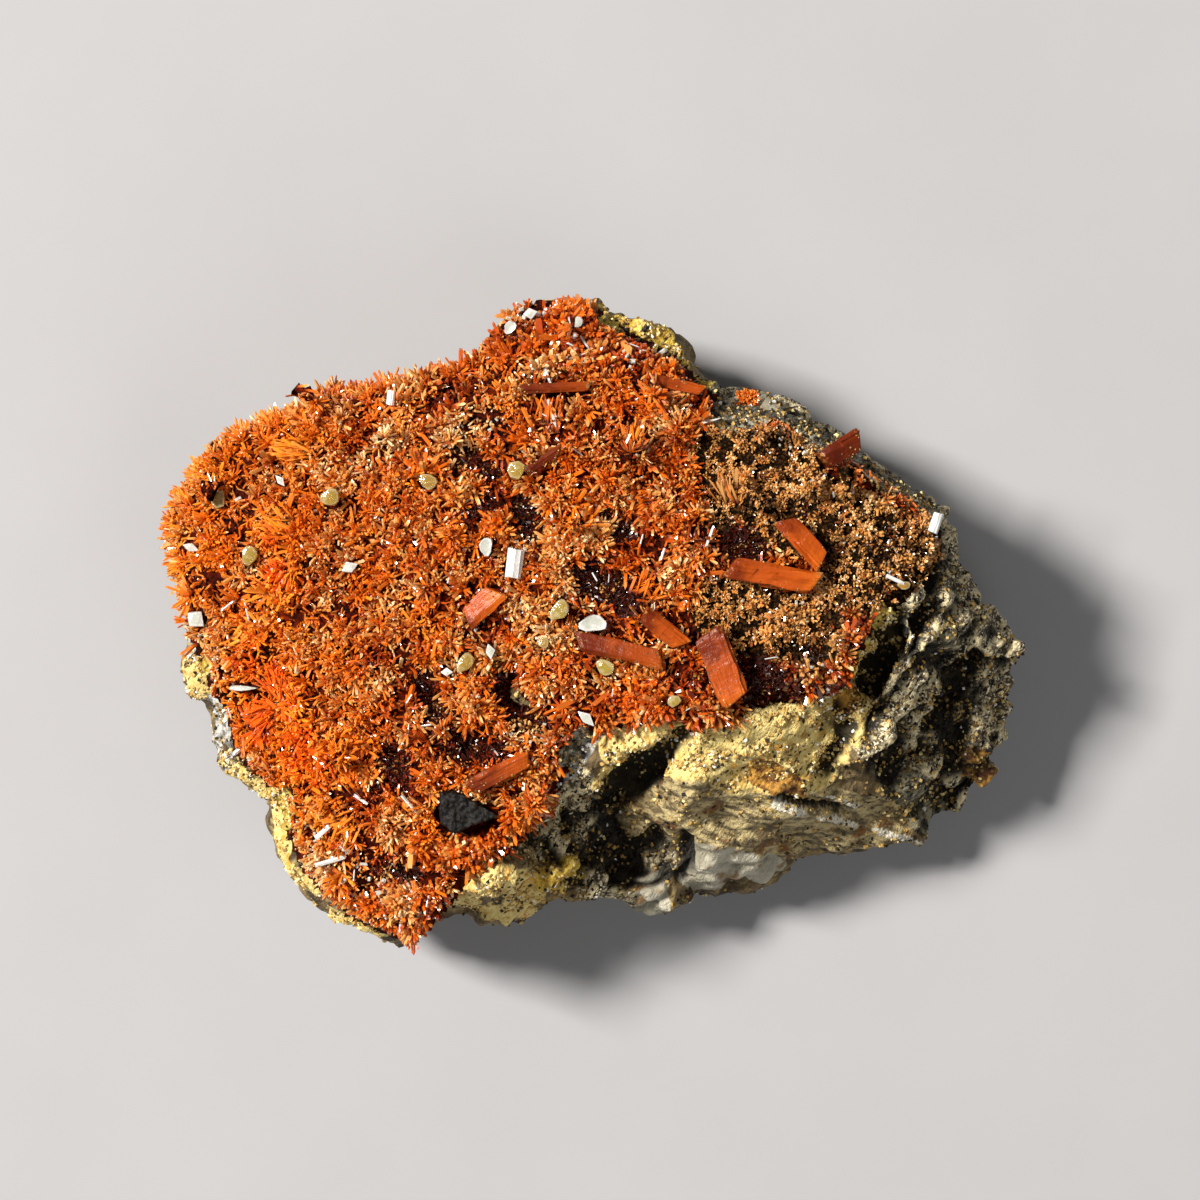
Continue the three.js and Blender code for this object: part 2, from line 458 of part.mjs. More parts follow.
// The angular black chip: its outline as seen from above, sunk into the druse and sloping to its tip.
function chipGeometry(clearance = 0) {
  const centre = CHIP_OUTLINE.reduce(([sx, sy], [x, y]) => [sx + x, sy + y], [0, 0]);
  const [cx, cy] = centre.map((sum) => sum / CHIP_OUTLINE.length);
  const grown = CHIP_OUTLINE.map(([x, y]) => {
    const radius = Math.hypot(x - cx, y - cy);
    return new THREE.Vector2(cx, cy).add(
      new THREE.Vector2(x - cx, y - cy).multiplyScalar(1 + (1.6 * clearance) / radius),
    );
  });
  const shape = new THREE.Shape(grown.reverse());
  const depth = CHIP_THICKNESS + 2 * clearance;
  const chip = new THREE.ExtrudeGeometry(shape, { depth, bevelEnabled: false });
  return chip.translate(0, 0, druseTop(cx, cy) - 0.45 * CHIP_THICKNESS - clearance);
}

function tuftSolid(heightAt) {
  const root = new THREE.Vector3(...TUFT_ROOT, heightAt(...TUFT_ROOT) + 0.1);
  const crystals = TUFT_TIPS.map(([x, y]) => {
    const tip = new THREE.Vector3(x, y, root.z + 0.5);
    const start = root.clone().lerp(tip, -0.35);
    const size = { length: start.distanceTo(tip), ...TUFT_CRYSTAL };
    return toSolid(crystalGeometry(size).applyMatrix4(layAlong(start, tip)));
  });
  return crystals.reduce((sum, crystal) => sum.add(crystal));
}

// ---- Pieces ----------------------------------------------------------------------------------

const FINISHES = {
  rock: { color: "#7d6440", roughness: 0.9, metalness: 0 },
  crocoite: { color: "#e0701c", roughness: 0.3, metalness: 0 },
  druse: { color: "#c9601f", roughness: 0.45, metalness: 0 },
  cerussite: { color: "#efe3ad", roughness: 0.15, metalness: 0 },
  chip: { color: "#1d1a18", roughness: 0.6, metalness: 0 },
};

const underBase = new THREE.BoxGeometry(200, 200, 60).translate(0, 0, -30);
const druseBefore = druseSolid();
const heightAt = surfaceOf(druseBefore);
const rockBefore = toSolid(rockGeometry()).subtract(toSolid(underBase));
const tuft = tuftSolid(surfaceOf(rockBefore));
const tuftSize = new THREE.Box3().setFromBufferAttribute(toGeometry(tuft).attributes.position);
const tuftSocket = new THREE.BoxGeometry(...tuftSize.getSize(new THREE.Vector3()).addScalar(2 * GAP));
tuftSocket.translate(...tuftSize.getCenter(new THREE.Vector3()));
const crystals = [
  ...PRISMS.map((prism) => prismPiece(prism, heightAt)),
  ...CERUSSITES.map((cerussite, i) => cerussitePiece(cerussite, i, heightAt)),
];
const sockets = [...crystals.map(socketFor), toSolid(chipGeometry(GAP)), toSolid(tuftSocket)];
const cut = (solid) => largest(sockets.reduce((rest, socket) => rest.subtract(socket), solid));

const group = new THREE.Group();

function addMesh(name, geometry, finish, matrix) {
  const flat = geometry.index ? geometry.toNonIndexed() : geometry;
  flat.computeVertexNormals();
  const mesh = new THREE.Mesh(flat, new THREE.MeshStandardMaterial(FINISHES[finish]));
  mesh.name = name;
  if (matrix) mesh.applyMatrix4(matrix);
  group.add(mesh);
}

addMesh("matrix", toGeometry(cut(rockBefore)), "rock");
addMesh("crocoite_crust", toGeometry(cut(druseBefore)), "druse");
addMesh("crocoite_tuft", toGeometry(tuft), "crocoite");
crystals.forEach(({ name, size, matrix, finish }) =>
  addMesh(name, crystalGeometry(size), finish, matrix));
addMesh("gossan_chip", chipGeometry(), "chip");

// The origin goes under the middle of the whole specimen.
const middle = new THREE.Box3().setFromObject(group).getCenter(new THREE.Vector3());
group.position.set(-middle.x, -middle.y, 0);

export default group;
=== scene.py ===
# Crocoite with cerussite: a block of limonite gossan, a druse of crocoite needles over its top, large
# crocoite prisms and pale cerussite crystals among them. It lies on its back, crystal face up.
import math

import bpy
import numpy as np
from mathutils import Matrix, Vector, noise
from mathutils.bvhtree import BVHTree


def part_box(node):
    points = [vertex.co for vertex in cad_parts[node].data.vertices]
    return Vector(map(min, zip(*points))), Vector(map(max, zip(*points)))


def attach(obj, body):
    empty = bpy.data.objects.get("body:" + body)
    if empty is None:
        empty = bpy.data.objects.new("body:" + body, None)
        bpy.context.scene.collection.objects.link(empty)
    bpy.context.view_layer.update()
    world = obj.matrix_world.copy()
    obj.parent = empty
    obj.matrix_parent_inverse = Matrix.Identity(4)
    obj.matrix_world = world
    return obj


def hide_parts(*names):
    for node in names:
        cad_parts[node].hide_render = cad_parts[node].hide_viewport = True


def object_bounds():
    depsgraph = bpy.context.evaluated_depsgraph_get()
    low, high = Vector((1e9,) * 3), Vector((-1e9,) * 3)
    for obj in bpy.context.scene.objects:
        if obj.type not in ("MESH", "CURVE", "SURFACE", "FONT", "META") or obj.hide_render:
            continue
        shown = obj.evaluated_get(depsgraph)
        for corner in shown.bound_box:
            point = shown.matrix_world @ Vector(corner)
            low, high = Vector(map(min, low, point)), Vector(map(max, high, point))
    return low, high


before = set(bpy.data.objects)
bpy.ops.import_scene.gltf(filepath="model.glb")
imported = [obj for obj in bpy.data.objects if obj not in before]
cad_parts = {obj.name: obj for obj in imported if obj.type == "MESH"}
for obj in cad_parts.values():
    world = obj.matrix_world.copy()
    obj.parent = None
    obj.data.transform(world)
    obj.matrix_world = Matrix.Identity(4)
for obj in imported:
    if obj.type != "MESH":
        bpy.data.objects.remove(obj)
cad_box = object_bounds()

MM = 0.001
rng = np.random.default_rng(20)
noise.seed_set(20)  # without it noise_vector would start from the clock

# Places on the specimen are given in millimetres as (x, y), seen from above, from the point that the
# black chip's low corner lies 18 mm to the left of and 23.6 mm below.
CHIP_LOW = Vector((-18.0, -23.6)) * MM
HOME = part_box("gossan_chip")[0].xy - CHIP_LOW


def at(x, y):
    """A place on the specimen, from millimetres to the frame."""
    return np.array([x * MM + HOME.x, y * MM + HOME.y])


# ---- Modelling helpers ----------------------------------------------------------------------------


def deselect():
    for obj in bpy.context.selected_objects:
        obj.select_set(False)


def activate(obj):
    deselect()
    obj.select_set(True)
    bpy.context.view_layer.objects.active = obj


def apply_modifiers(obj):
    activate(obj)
    for modifier in list(obj.modifiers):
        bpy.ops.object.modifier_apply(modifier=modifier.name)


def modify(obj, kind, **settings):
    """Adds a modifier with its settings and applies it."""
    modifier = obj.modifiers.new(kind, kind)
    for name, value in settings.items():
        setattr(modifier, name, value)
    apply_modifiers(obj)


def copy_of(node, name):
    """A merged copy of a CAD node's solid, as an object of its own."""
    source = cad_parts[node]
    obj = bpy.data.objects.new(name, source.data.copy())
    bpy.context.scene.collection.objects.link(obj)
    obj.data.materials.clear()
    activate(obj)
    bpy.ops.object.mode_set(mode="EDIT")
    bpy.ops.mesh.select_all(action="SELECT")
    bpy.ops.mesh.remove_doubles(threshold=0.002 * MM)
    bpy.ops.object.mode_set(mode="OBJECT")
    return obj


def points_of(mesh):
    coordinates = np.empty(len(mesh.vertices) * 3, np.float32)
    mesh.vertices.foreach_get("co", coordinates)
    return coordinates.reshape(-1, 3).astype(float)


def corners_of(mesh):
    """The vertices of each triangle of a mesh."""
    mesh.calc_loop_triangles()
    corners = np.empty(len(mesh.loop_triangles) * 3, np.int32)
    mesh.loop_triangles.foreach_get("vertices", corners)
    return corners.reshape(-1, 3)


def normals_of(mesh):
    """Each vertex's normal: its triangles' normals added up by their area."""
    points, corners = points_of(mesh) / MM, corners_of(mesh)
    first, second, third = (points[corners[:, i]] for i in range(3))
    facing = np.cross(second - first, third - first)
    total = np.zeros(points.shape)
    for i in range(3):
        np.add.at(total, corners[:, i], facing)
    return unit(total)


def shade(obj, smooth):
    activate(obj)
    if smooth:
        bpy.ops.object.shade_smooth()
    else:
        bpy.ops.object.shade_flat()


def finish_piece(obj, nodes, material):
    """Gives a piece its material and its body, and hides the CAD nodes that it stands for."""
    obj.data.materials.clear()
    obj.data.materials.append(material)
    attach(obj, "root")
    if nodes:
        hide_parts(*nodes)


def store(mesh, name, values):
    """Keeps one number for each vertex as an attribute that a material can read."""
    attribute = mesh.attributes.new(name, "FLOAT", "POINT")
    attribute.data.foreach_set("value", np.ascontiguousarray(values, np.float32))


def value_of(obj, name):
    """An attribute's values, one for each vertex."""
    values = np.empty(len(obj.data.vertices), np.float32)
    obj.data.attributes[name].data.foreach_get("value", values)
    return values


# ---- Zones ----------------------------------------------------------------------------------------


def distance_to(points, start, end):
    """Distance in plan, in metres, from each point to a line between two places."""
    a, b = at(*start), at(*end)
    run = b - a
    length2 = max(run @ run, 1e-12)
    share = np.clip((points[:, :2] - a) @ run / length2, 0, 1)
    return np.linalg.norm(points[:, :2] - a - share[:, None] * run, axis=1)


def zone(points, lines, soft=0.5):
    """1 inside a zone and 0 outside it. Each line of the zone is (start, end, reach in millimetres)."""
    weight = np.zeros(len(points))
    for start, end, reach in lines:
        inside = 1 - distance_to(points, start, end) / (reach * MM)
        weight = np.maximum(weight, np.clip(inside / soft + 0.5, 0, 1))
    return weight * weight * (3 - 2 * weight)


# The rims where the rock stays bare beside the druse.
LEFT_RIM = [
    ((-46, -5), (-46, -7), 1.6), ((-42.6, -16.4), (-39.4, -19.2), 1.7), ((-37.6, -20.6), (-37, -26), 2.0),
    ((-36.6, -27.6), (-33.6, -31.6), 1.8), ((-31.6, -33.4), (-24, -36.9), 1.3),
]
TOP_RIM = [((2, 36), (9, 32.5), 2.6), ((10, 31), (11.6, 28), 1.4)]
BACK_RIM = [((14, 27), (21.5, 25), 2.0), ((21.5, 25), (27.6, 21.2), 2.4), ((30, 19.6), (41, 12), 1.5)]
BACK_QUARTZ = [((14.6, 23.6), (19, 25), 1.9)]
LEFT_STONE = [((-45, -10.6), (-43.8, -14.4), 2.3), ((-48.8, -2), (-46.8, -3.2), 1.1)]
RIGHT_RIM = [((32.8, 0.6), (31.2, -3), 1.7), ((30.4, -3), (29.6, -8), 1.3)]

ROCK_ZONES = {
    "ochre": LEFT_RIM + RIGHT_RIM + [
        ((3, -13), (9, -12.5), 3.2), ((9, -13.5), (17, -13.5), 4.2), ((16, -14.5), (23.5, -14.5), 5),
        ((20, -10), (26, -11.5), 3), ((31, 1), (28.6, -6), 1.5), ((28.2, -7), (29, -12), 2),
        ((0.8, -18.6), (4, -14), 1.7), ((-16, -29), (-10, -31.5), 3.6), ((-15.6, 30), (-11.5, 34), 1.3),
        ((-11, 35), (-5, 37.6), 1.2),
    ],
    "yellow": TOP_RIM + [((-5, -29.4), (-3, -28.8), 2.3), ((29.4, -3.6), (28.4, -8.4), 1.6)],
    "quartz": BACK_QUARTZ + [
        ((12, -28.6), (20, -30.6), 3), ((5.5, -30.6), (6.5, -33.6), 1.9),
        ((-48.8, -2.3), (-47.8, -2), 1.7), ((-4, 36.8), (-1, 36.8), 0.8),
    ],
    "seam": [((20, -21), (31, -24), 0.32), ((31, -24), (38, -26), 0.36), ((24, -19.3), (30, -21.5), 0.2)],
    "silver": LEFT_STONE + [((-4.4, -16.4), (-0.8, -11.4), 1.7)],
    "layered": [((6, -20.5), (16, -22), 4.6), ((16, -22), (32, -25), 4.6)],
    "dark": [
        ((36, -1), (47, -4), 8), ((33, -6), (45, -19), 8.4), ((37, 10), (42, 4), 4.4),
        ((-5, -21), (3, -29), 5.6), ((16, 27), (40, 13), 2.2), ((-17.4, 26.6), (-15, 27.4), 1.4),
    ],
    "rust": [((44.6, -17), (45.6, -20), 2.2), ((18.4, -17), (22, -19), 1.7), ((28.6, -8), (28, -10), 1.3)],
    "moss": BACK_RIM + [((36, -20), (40, -23), 3), ((38.6, -3), (40, -1.8), 1)],
    "crevice": [
        ((34, 0.9), (31, -6.3), 1.2), ((28.6, -12), (26, -17.2), 1.0), ((32.7, -9.3), (30.6, -13.5), 0.9),
        ((43.2, -5), (38.6, -11.7), 1.2), ((35.8, -13.1), (34.1, -18.9), 0.9),
        ((42.6, -13.1), (41, -18), 0.9), ((38.4, 2.6), (35.4, -3.4), 0.8),
        ((9.6, -12.7), (5.3, -16.6), 1.0), ((5, -17), (-1, -22.5), 2.0), ((-2, -23), (2, -27), 2.2),
        ((9.6, -25.2), (10, -30), 0.8), ((20.6, -20.4), (28, -22), 0.5),
    ],
}

# The druse: where its needles are bright, fine and earthy, glassy and reddish, pale, vivid, strewn with
# clear crystals, or wanting in hollows that are also painted dark as shade, and where bare rock shows
# between them.
DRUSE_ZONES = {
    "bright": [
        ((-44, 12), (-40, -6), 7), ((-38, -8), (-34, -14), 5), ((-33, -20), (-29, -26), 4),
        ((-36, 20), (-40, 18), 3), ((-46, 16), (-38, 21), 3), ((14.5, 0.6), (22, -1), 3.4),
    ],
    "fine": [
        ((13.5, 20), (22, 18.5), 3.6), ((20, 14.5), (33, 8), 5.4), ((14.5, 1.6), (23.6, -1), 4.4),
        ((34, 4), (37, 9.6), 3), ((13.4, 12), (13.8, 18), 2), ((26, 3.5), (31, 4), 2.6),
    ],
    "glassy": [
        ((-24, -33), (-19, -35), 3.4), ((22, -6.6), (27.6, -7.4), 2), ((-19.8, -27), (-12, -24.4), 1.6),
        ((2, -8.6), (10, -8.8), 1.6), ((26.5, -1.6), (31, 0.6), 1.5), ((-9, 33.6), (-3, 35), 3.2),
        ((-6, 29.6), (4, 31), 2.6), ((8, 28), (13.6, 25.4), 2), ((-42, -14), (-40.6, -17), 1.6),
    ],
    "pale": [
        ((-30.6, 17.2), (-29.6, 16), 1.5), ((-44, -0.5), (-42, -5), 2.4), ((-27, 17.6), (-24, 20), 1.3),
        ((-17.5, 19), (-13, 23), 2), ((-14, -4.6), (-11.6, -3), 1.2), ((-5.4, 10.6), (-4.2, 3.6), 1.5),
        ((-33.8, -24), (-31, -30), 1.6), ((-28, -27), (-22, -33), 2.0), ((-6, 28.6), (-3, 30), 1.2),
        ((-42.6, -13), (-40.6, -16.4), 1.4), ((-5.6, -2), (-9, 2), 1.6), ((-10, -12), (-6, -13), 1.4),
    ],
    "vivid": [
        ((-39.4, -4), (-36, -8), 2.6), ((-40, -9), (-36.4, -12), 2.2), ((-34, -13.4), (-30.4, -17), 2.6),
        ((-37, 9), (-36, 5), 1.2),
    ],
    "frosted": [
        ((-12.4, 33.6), (-8, 36), 1.8), ((-5, 34.6), (-2.6, 33.6), 1.4), ((-6.4, 29), (-3, 30.4), 1.4),
        ((2, 29.4), (8, 30.6), 1.0), ((-30, -27), (-20, -34), 2.6), ((-43, -13), (-40.6, -16.6), 1.8),
        ((-48.6, -1.4), (-46.4, -3.6), 1.8), ((24, -5), (27, -7), 1.0),
    ],
    "hollow": [
        ((-1.2, 5.4), (3, 2.8), 2), ((14.8, 9.2), (17.6, 8.2), 1.7), ((16.4, -4.6), (19, -6.8), 2),
        ((22.8, -3.4), (24.8, -3.8), 1), ((-19.4, -6.4), (-18.6, -9.6), 1.5),
        ((-10.4, -7.2), (-7.5, -11), 1.8), ((-16.8, -13.4), (-11.6, -14.8), 1.5),
        ((-23.4, -14.8), (-22, -18.6), 1.6), ((-9, 13.6), (-7.6, 10), 1.2),
        ((-15.6, 19), (-12.6, 17.2), 1.5), ((-25, -28.2), (-21.4, -28.8), 1.2),
        ((31, 7.8), (32.6, 7.4), 0.9), ((1, 12.4), (2.6, 10.8), 1.2), ((-14.6, 12), (-12.4, 13.6), 1.2),
        ((17.4, -9), (18.6, -8.4), 1.2),
    ],
    "sandy": LEFT_RIM + TOP_RIM + RIGHT_RIM,
    "stony": BACK_RIM + BACK_QUARTZ + LEFT_STONE + [((-3.8, -15.6), (-1.6, -12.6), 1.0)],
}

BARE_RIMS = DRUSE_ZONES["sandy"] + DRUSE_ZONES["stony"]

# ---- Materials ------------------------------------------------------------------------------------


def linear(code):
    """An sRGB hex colour as linear red, green, blue and alpha."""
    channels = [int(code[i : i + 2], 16) / 255 for i in (1, 3, 5)]
    return [c / 12.92 if c <= 0.04045 else ((c + 0.055) / 1.055) ** 2.4 for c in channels] + [1.0]


def new_material(name):
    material = bpy.data.materials.new(name)
    material.use_nodes = True
    material.node_tree.nodes.clear()
    return material, material.node_tree


def add(tree, kind, inputs=None, output=0, **settings):
    """Adds a node with its settings and gives one of its outputs. An input is named or numbered, and
    holds another node's output, a colour code or a plain value."""
    node = tree.nodes.new("ShaderNode" + kind)
    for name, value in settings.items():
        setattr(node, name, value)
    for name, value in (inputs or {}).items():
        if isinstance(value, bpy.types.NodeSocket):
            tree.links.new(value, node.inputs[name])
        elif isinstance(value, str):
            node.inputs[name].default_value = linear(value)
        else:
            node.inputs[name].default_value = value
    return node.outputs[output] if node.outputs else node


def grain_of(tree, size_mm, squeeze=(1, 1, 1), turn=0.0):
    """A cloudy grain about size_mm across, or streaks of it where it is squeezed along one way."""
    place = add(tree, "TexCoord", output="Object")
    turned = add(tree, "Mapping", {"Vector": place, "Rotation": (0, 0, turn)})
    drawn = add(tree, "Mapping", {"Vector": turned, "Scale": squeeze})
    return add(tree, "TexNoise", {
        "Vector": drawn, "Scale": 1 / (size_mm * MM), "Detail": 4.0, "Roughness": 0.6,
    })


def mottled(tree, ground, spots, grain, start, full):
    """One colour over another, where a grain passes start, and full where it reaches full."""
    share = add(tree, "MapRange", {"Value": grain, "From Min": start, "From Max": full},
                interpolation_type="SMOOTHSTEP")
    return add(tree, "Mix", {0: share, 6: ground, 7: spots}, output=2, data_type="RGBA")


def crocoite_needles():
    """Crocoite, lead chromate, in grown needles: an adamantine lustre, orange to red-brown by the light
    that gets through each, with painted shade darkening those low in the gaps and hollows and each one
    toward its root. Some are gilded with limonite dust and painted highlights toward their tips, and the
    finest are brown with it."""
    material, tree = new_material("crocoite needles, grown")
    tint, along, dust_and_highlight, earthy = (
        add(tree, "Attribute", output="Fac", attribute_name=name)
        for name in ("tint", "along", "dust_and_highlight", "earthy")
    )
    # The tint runs from painted shade, dark red-brown, on needles low in the gaps to bright orange on the
    # heads.
    colour = mottled(tree, mottled(tree, "#2E0C04", "#6A1A02", tint, 0.0, 0.1), "#B4460A", tint, 0.04, 0.3)
    colour = mottled(tree, colour, "#E07012", tint, 0.25, 0.65)
    colour = mottled(tree, colour, "#F59426", tint, 0.65, 1.0)
    colour = mottled(tree, colour, "#EA640E", tint, 1.02, 1.3)
    colour = mottled(tree, colour, mottled(tree, "#221004", "#CC9450", tint, 0.1, 0.64), earthy, 0.2, 0.8)
    # Cream gilt toward each tip: limonite dust and a painted highlight.
    end = add(tree, "MapRange", {"Value": along, "From Min": 0.05, "From Max": 0.7})
    gilt_and_highlight = add(tree, "Math", {0: dust_and_highlight, 1: end}, operation="MULTIPLY")
    colour = mottled(tree, colour, "#DC9C50", gilt_and_highlight, 0.2, 0.55)
    colour = mottled(tree, colour, "#F6DCA8", gilt_and_highlight, 0.6, 0.95)
    # Painted shade toward the root of each needle.
    colour = mottled(tree, "#541202", colour, along, 0.0, 0.45)
    shader = add(tree, "BsdfPrincipled", {"Base Color": colour, "Roughness": 0.24, "IOR": 1.9})
    add(tree, "OutputMaterial", {"Surface": shader})
    return material


def crocoite_bed():
    """Intergrown crocoite at the foot of the needles: deep maroon on its heads, painted nearly black as
    shade in the gaps and hollows between them, brown specks on near-black painted shade where it is
    earthy, and sandy limonite or grey stone along its bare rims."""
    material, tree = new_material("crocoite bed, intergrown")
    grain, fine = grain_of(tree, 0.9), grain_of(tree, 0.35)
    knob = add(tree, "Attribute", output="Fac", attribute_name="knob")
    finishes = {
        # Where it is earthy: brown specks on near-black painted shade between the small crystals.
        "fine": mottled(tree, "#0C0602", "#4E3014", fine, 0.46, 0.7),
        "sandy": mottled(tree, mottled(tree, "#BC9C42", "#DEC666", grain, 0.4, 0.6), "#4A3A18",
                         fine, 0.6, 0.68),
        "stony": mottled(tree, mottled(tree, "#4A463A", "#A09C8C", grain, 0.4, 0.6), "#26241C",
                         fine, 0.54, 0.64),
    }
    colour = mottled(tree, "#340A02", "#741E04", grain, 0.45, 0.72)
    # Painted shade, nearly black, in the gaps and hollows where the knob attribute is low.
    painted_gap_shade = mottled(tree, "#0E0402", "#4C1204", fine, 0.46, 0.62)
    colour = mottled(tree, painted_gap_shade, colour, knob, 0.3, 0.75)
    for name, finish in finishes.items():
        reach = add(tree, "Attribute", output="Fac", attribute_name=name)
        ragged = add(tree, "Math", {0: grain, 1: 0.9, 2: reach}, operation="MULTIPLY_ADD")
        colour = mottled(tree, colour, finish, ragged, 0.8, 1.0)
    bump = add(tree, "Bump", {"Height": grain, "Strength": 0.8, "Distance": 0.4 * MM})
    shader = add(tree, "BsdfPrincipled", {
        "Base Color": colour, "Roughness": 0.9, "Specular IOR Level": 0.06, "Normal": bump,
    })
    add(tree, "OutputMaterial", {"Surface": shader})
    return material


def crocoite_prism():
    """A large crocoite prism: rust orange to brown red, with painted light that brightens it toward its end
    on the +X side as if lit through, streaked along its length where it is striated, dusted with limonite
    at its ends. The streaks are about 0.3 mm apart."""
    material, tree = new_material("crocoite prism, striated")
    along, across, end, painted_glow, red = (
        add(tree, "Attribute", output="Fac", attribute_name=name)
        for name in ("along", "across", "end", "painted_glow", "red")
    )
    slow = add(tree, "Math", {0: along, 1: 0.08}, operation="MULTIPLY")
    place = add(tree, "CombineXYZ", {"X": slow, "Y": across})
    streak = add(tree, "TexNoise", {
        "Vector": place, "Scale": 1 / (0.3 * MM), "Detail": 3.0, "Roughness": 0.6,
    })
    # Cloudy colour, with painted light brightening the prism toward one end.
    cloud_and_glow = add(tree, "Math", {0: grain_of(tree, 2.2), 1: 1.2, 2: painted_glow}, operation="MULTIPLY_ADD")
    colour = mottled(tree, "#6E2404", "#B04A0C", cloud_and_glow, 0.6, 1.15)
    colour = mottled(tree, colour, "#DC6C12", cloud_and_glow, 1.2, 1.85)
    colour = mottled(tree, colour, "#561804", red, 0.0, 1.2)
    colour = mottled(tree, colour, "#481404", streak, 0.56, 0.76)
    worn = add(tree, "Math", {0: grain_of(tree, 0.5), 1: 1.2, 2: end}, operation="MULTIPLY_ADD")
    colour = mottled(tree, colour, "#A8743A", worn, 1.48, 1.66)
    height = add(tree, "Math", {0: grain_of(tree, 0.5), 1: 0.8, 2: streak}, operation="MULTIPLY_ADD")
    bump = add(tree, "Bump", {"Height": height, "Strength": 0.6, "Distance": 0.2 * MM})
    shader = add(tree, "BsdfPrincipled", {
        "Base Color": colour, "Roughness": 0.33, "Specular IOR Level": 0.35, "Normal": bump,
    })
    add(tree, "OutputMaterial", {"Surface": shader})
    return material


def cerussite(name, core, rim, through):
    """Cerussite, lead carbonate: colourless to pale lemon, cloudy inside and clearer at its rim, with a
    lustre like diamond's."""
    material, tree = new_material(name)
    outward, green = (add(tree, "Attribute", output="Fac", attribute_name=name) for name in ("rim", "green"))
    colour = mottled(tree, core, "#D0BE50", green, 0.0, 1.6)
    colour = mottled(tree, colour, rim, outward, 0.6, 1.05)
    colour = mottled(tree, colour, rim, grain_of(tree, 0.9), 0.5, 0.66)
    bump = add(tree, "Bump", {"Height": grain_of(tree, 0.7), "Strength": 0.5, "Distance": 0.3 * MM})
    shader = add(tree, "BsdfPrincipled", {
        "Base Color": colour, "Roughness": 0.1, "IOR": 1.9, "Transmission Weight": through, "Normal": bump,
    })
    add(tree, "OutputMaterial", {"Surface": shader})
    return material


def limonite_gossan():
    """Gossan: crumbly limonite from ochre to near black, with quartz, iron rust and thin layers, broken
    by hand, so it is rough and dull, with painted shade darkening its pits and crevices."""
    material, tree = new_material("limonite gossan, broken")
    coarse, middle, fine = grain_of(tree, 5), grain_of(tree, 1.3), grain_of(tree, 0.32)
    strokes = grain_of(tree, 0.55, (0.4, 1, 0.7), math.radians(-60))
    layers = grain_of(tree, 0.8, (0.3, 1, 0.6), math.radians(16))
    black = mottled(tree, "#544836", "#E6D4A4", middle, 0.4, 0.6)
    black = mottled(tree, black, "#100D08", strokes, 0.52, 0.6)
    sheets = mottled(tree, "#625438", "#C6B27E", layers, 0.38, 0.62)
    ochre = mottled(tree, "#C29C48", "#EAD286", middle, 0.32, 0.54)
    crystal = mottled(tree, "#8A8470", "#C4BEA8", coarse, 0.36, 0.6)
    finishes = {
        "dark": mottled(tree, black, "#FCF0CC", fine, 0.54, 0.62),
        "moss": mottled(tree, mottled(tree, "#3A3626", "#8E866A", middle, 0.4, 0.6), "#14120C",
                        strokes, 0.53, 0.6),
        "layered": mottled(tree, mottled(tree, sheets, "#80562A", grain_of(tree, 3.2), 0.54, 0.68), "#2E2618",
                           fine, 0.56, 0.68),
        "ochre": mottled(tree, mottled(tree, ochre, "#DCA034", grain_of(tree, 2.4), 0.56, 0.7), "#3E2C0E",
                         strokes, 0.58, 0.64),
        "yellow": mottled(tree, mottled(tree, "#C09832", "#FADA62", middle, 0.38, 0.62), "#3E2C0E",
                          strokes, 0.58, 0.64),
        "rust": mottled(tree, "#4E260C", "#C8923A", middle, 0.38, 0.62),
        "quartz": mottled(tree, crystal, "#8A6A40", grain_of(tree, 2.6), 0.53, 0.66),
        "seam": mottled(tree, "#A09A84", "#EAE2CC", fine, 0.36, 0.56),
        "silver": mottled(tree, mottled(tree, "#6E6C66", "#C4C2BA", middle, 0.4, 0.6), "#34322C",
                          fine, 0.56, 0.66),
    }
    colour = mottled(tree, "#3A2E1C", "#86704A", coarse, 0.38, 0.62)
    colour = mottled(tree, colour, "#A08A56", middle, 0.48, 0.68)
    for name, finish in finishes.items():
        reach = add(tree, "Attribute", output="Fac", attribute_name=name)
        rough_edge = {"seam": 0.3, "quartz": 1.4, "rust": 1.4}.get(name, 0.7)
        ragged = add(tree, "Math", {0: middle, 1: rough_edge, 2: reach}, operation="MULTIPLY_ADD")
        edge = 0.3 + rough_edge / 2
        colour = mottled(tree, colour, finish, ragged, edge, edge + 0.24)
    painted_pit_shade = add(tree, "Attribute", output="Fac", attribute_name="painted_pit_shade")
    # Painted shade in the pits and crevices.
    colour = mottled(tree, colour, "#0C0804", painted_pit_shade, 0.38, 1.08)
    gloss = add(tree, "MapRange", {
        "Value": fine, "From Min": 0.5, "From Max": 0.72, "To Min": 0.85, "To Max": 0.5,
    })
    height = add(tree, "Math", {0: strokes, 1: -0.9, 2: middle}, operation="MULTIPLY_ADD")
    bump = add(tree, "Bump", {"Height": height, "Strength": 1.0, "Distance": 0.55 * MM})
    shader = add(tree, "BsdfPrincipled", {
        "Base Color": colour, "Roughness": gloss, "IOR": 1.5, "Normal": bump,
    })
    add(tree, "OutputMaterial", {"Surface": shader})
    return material


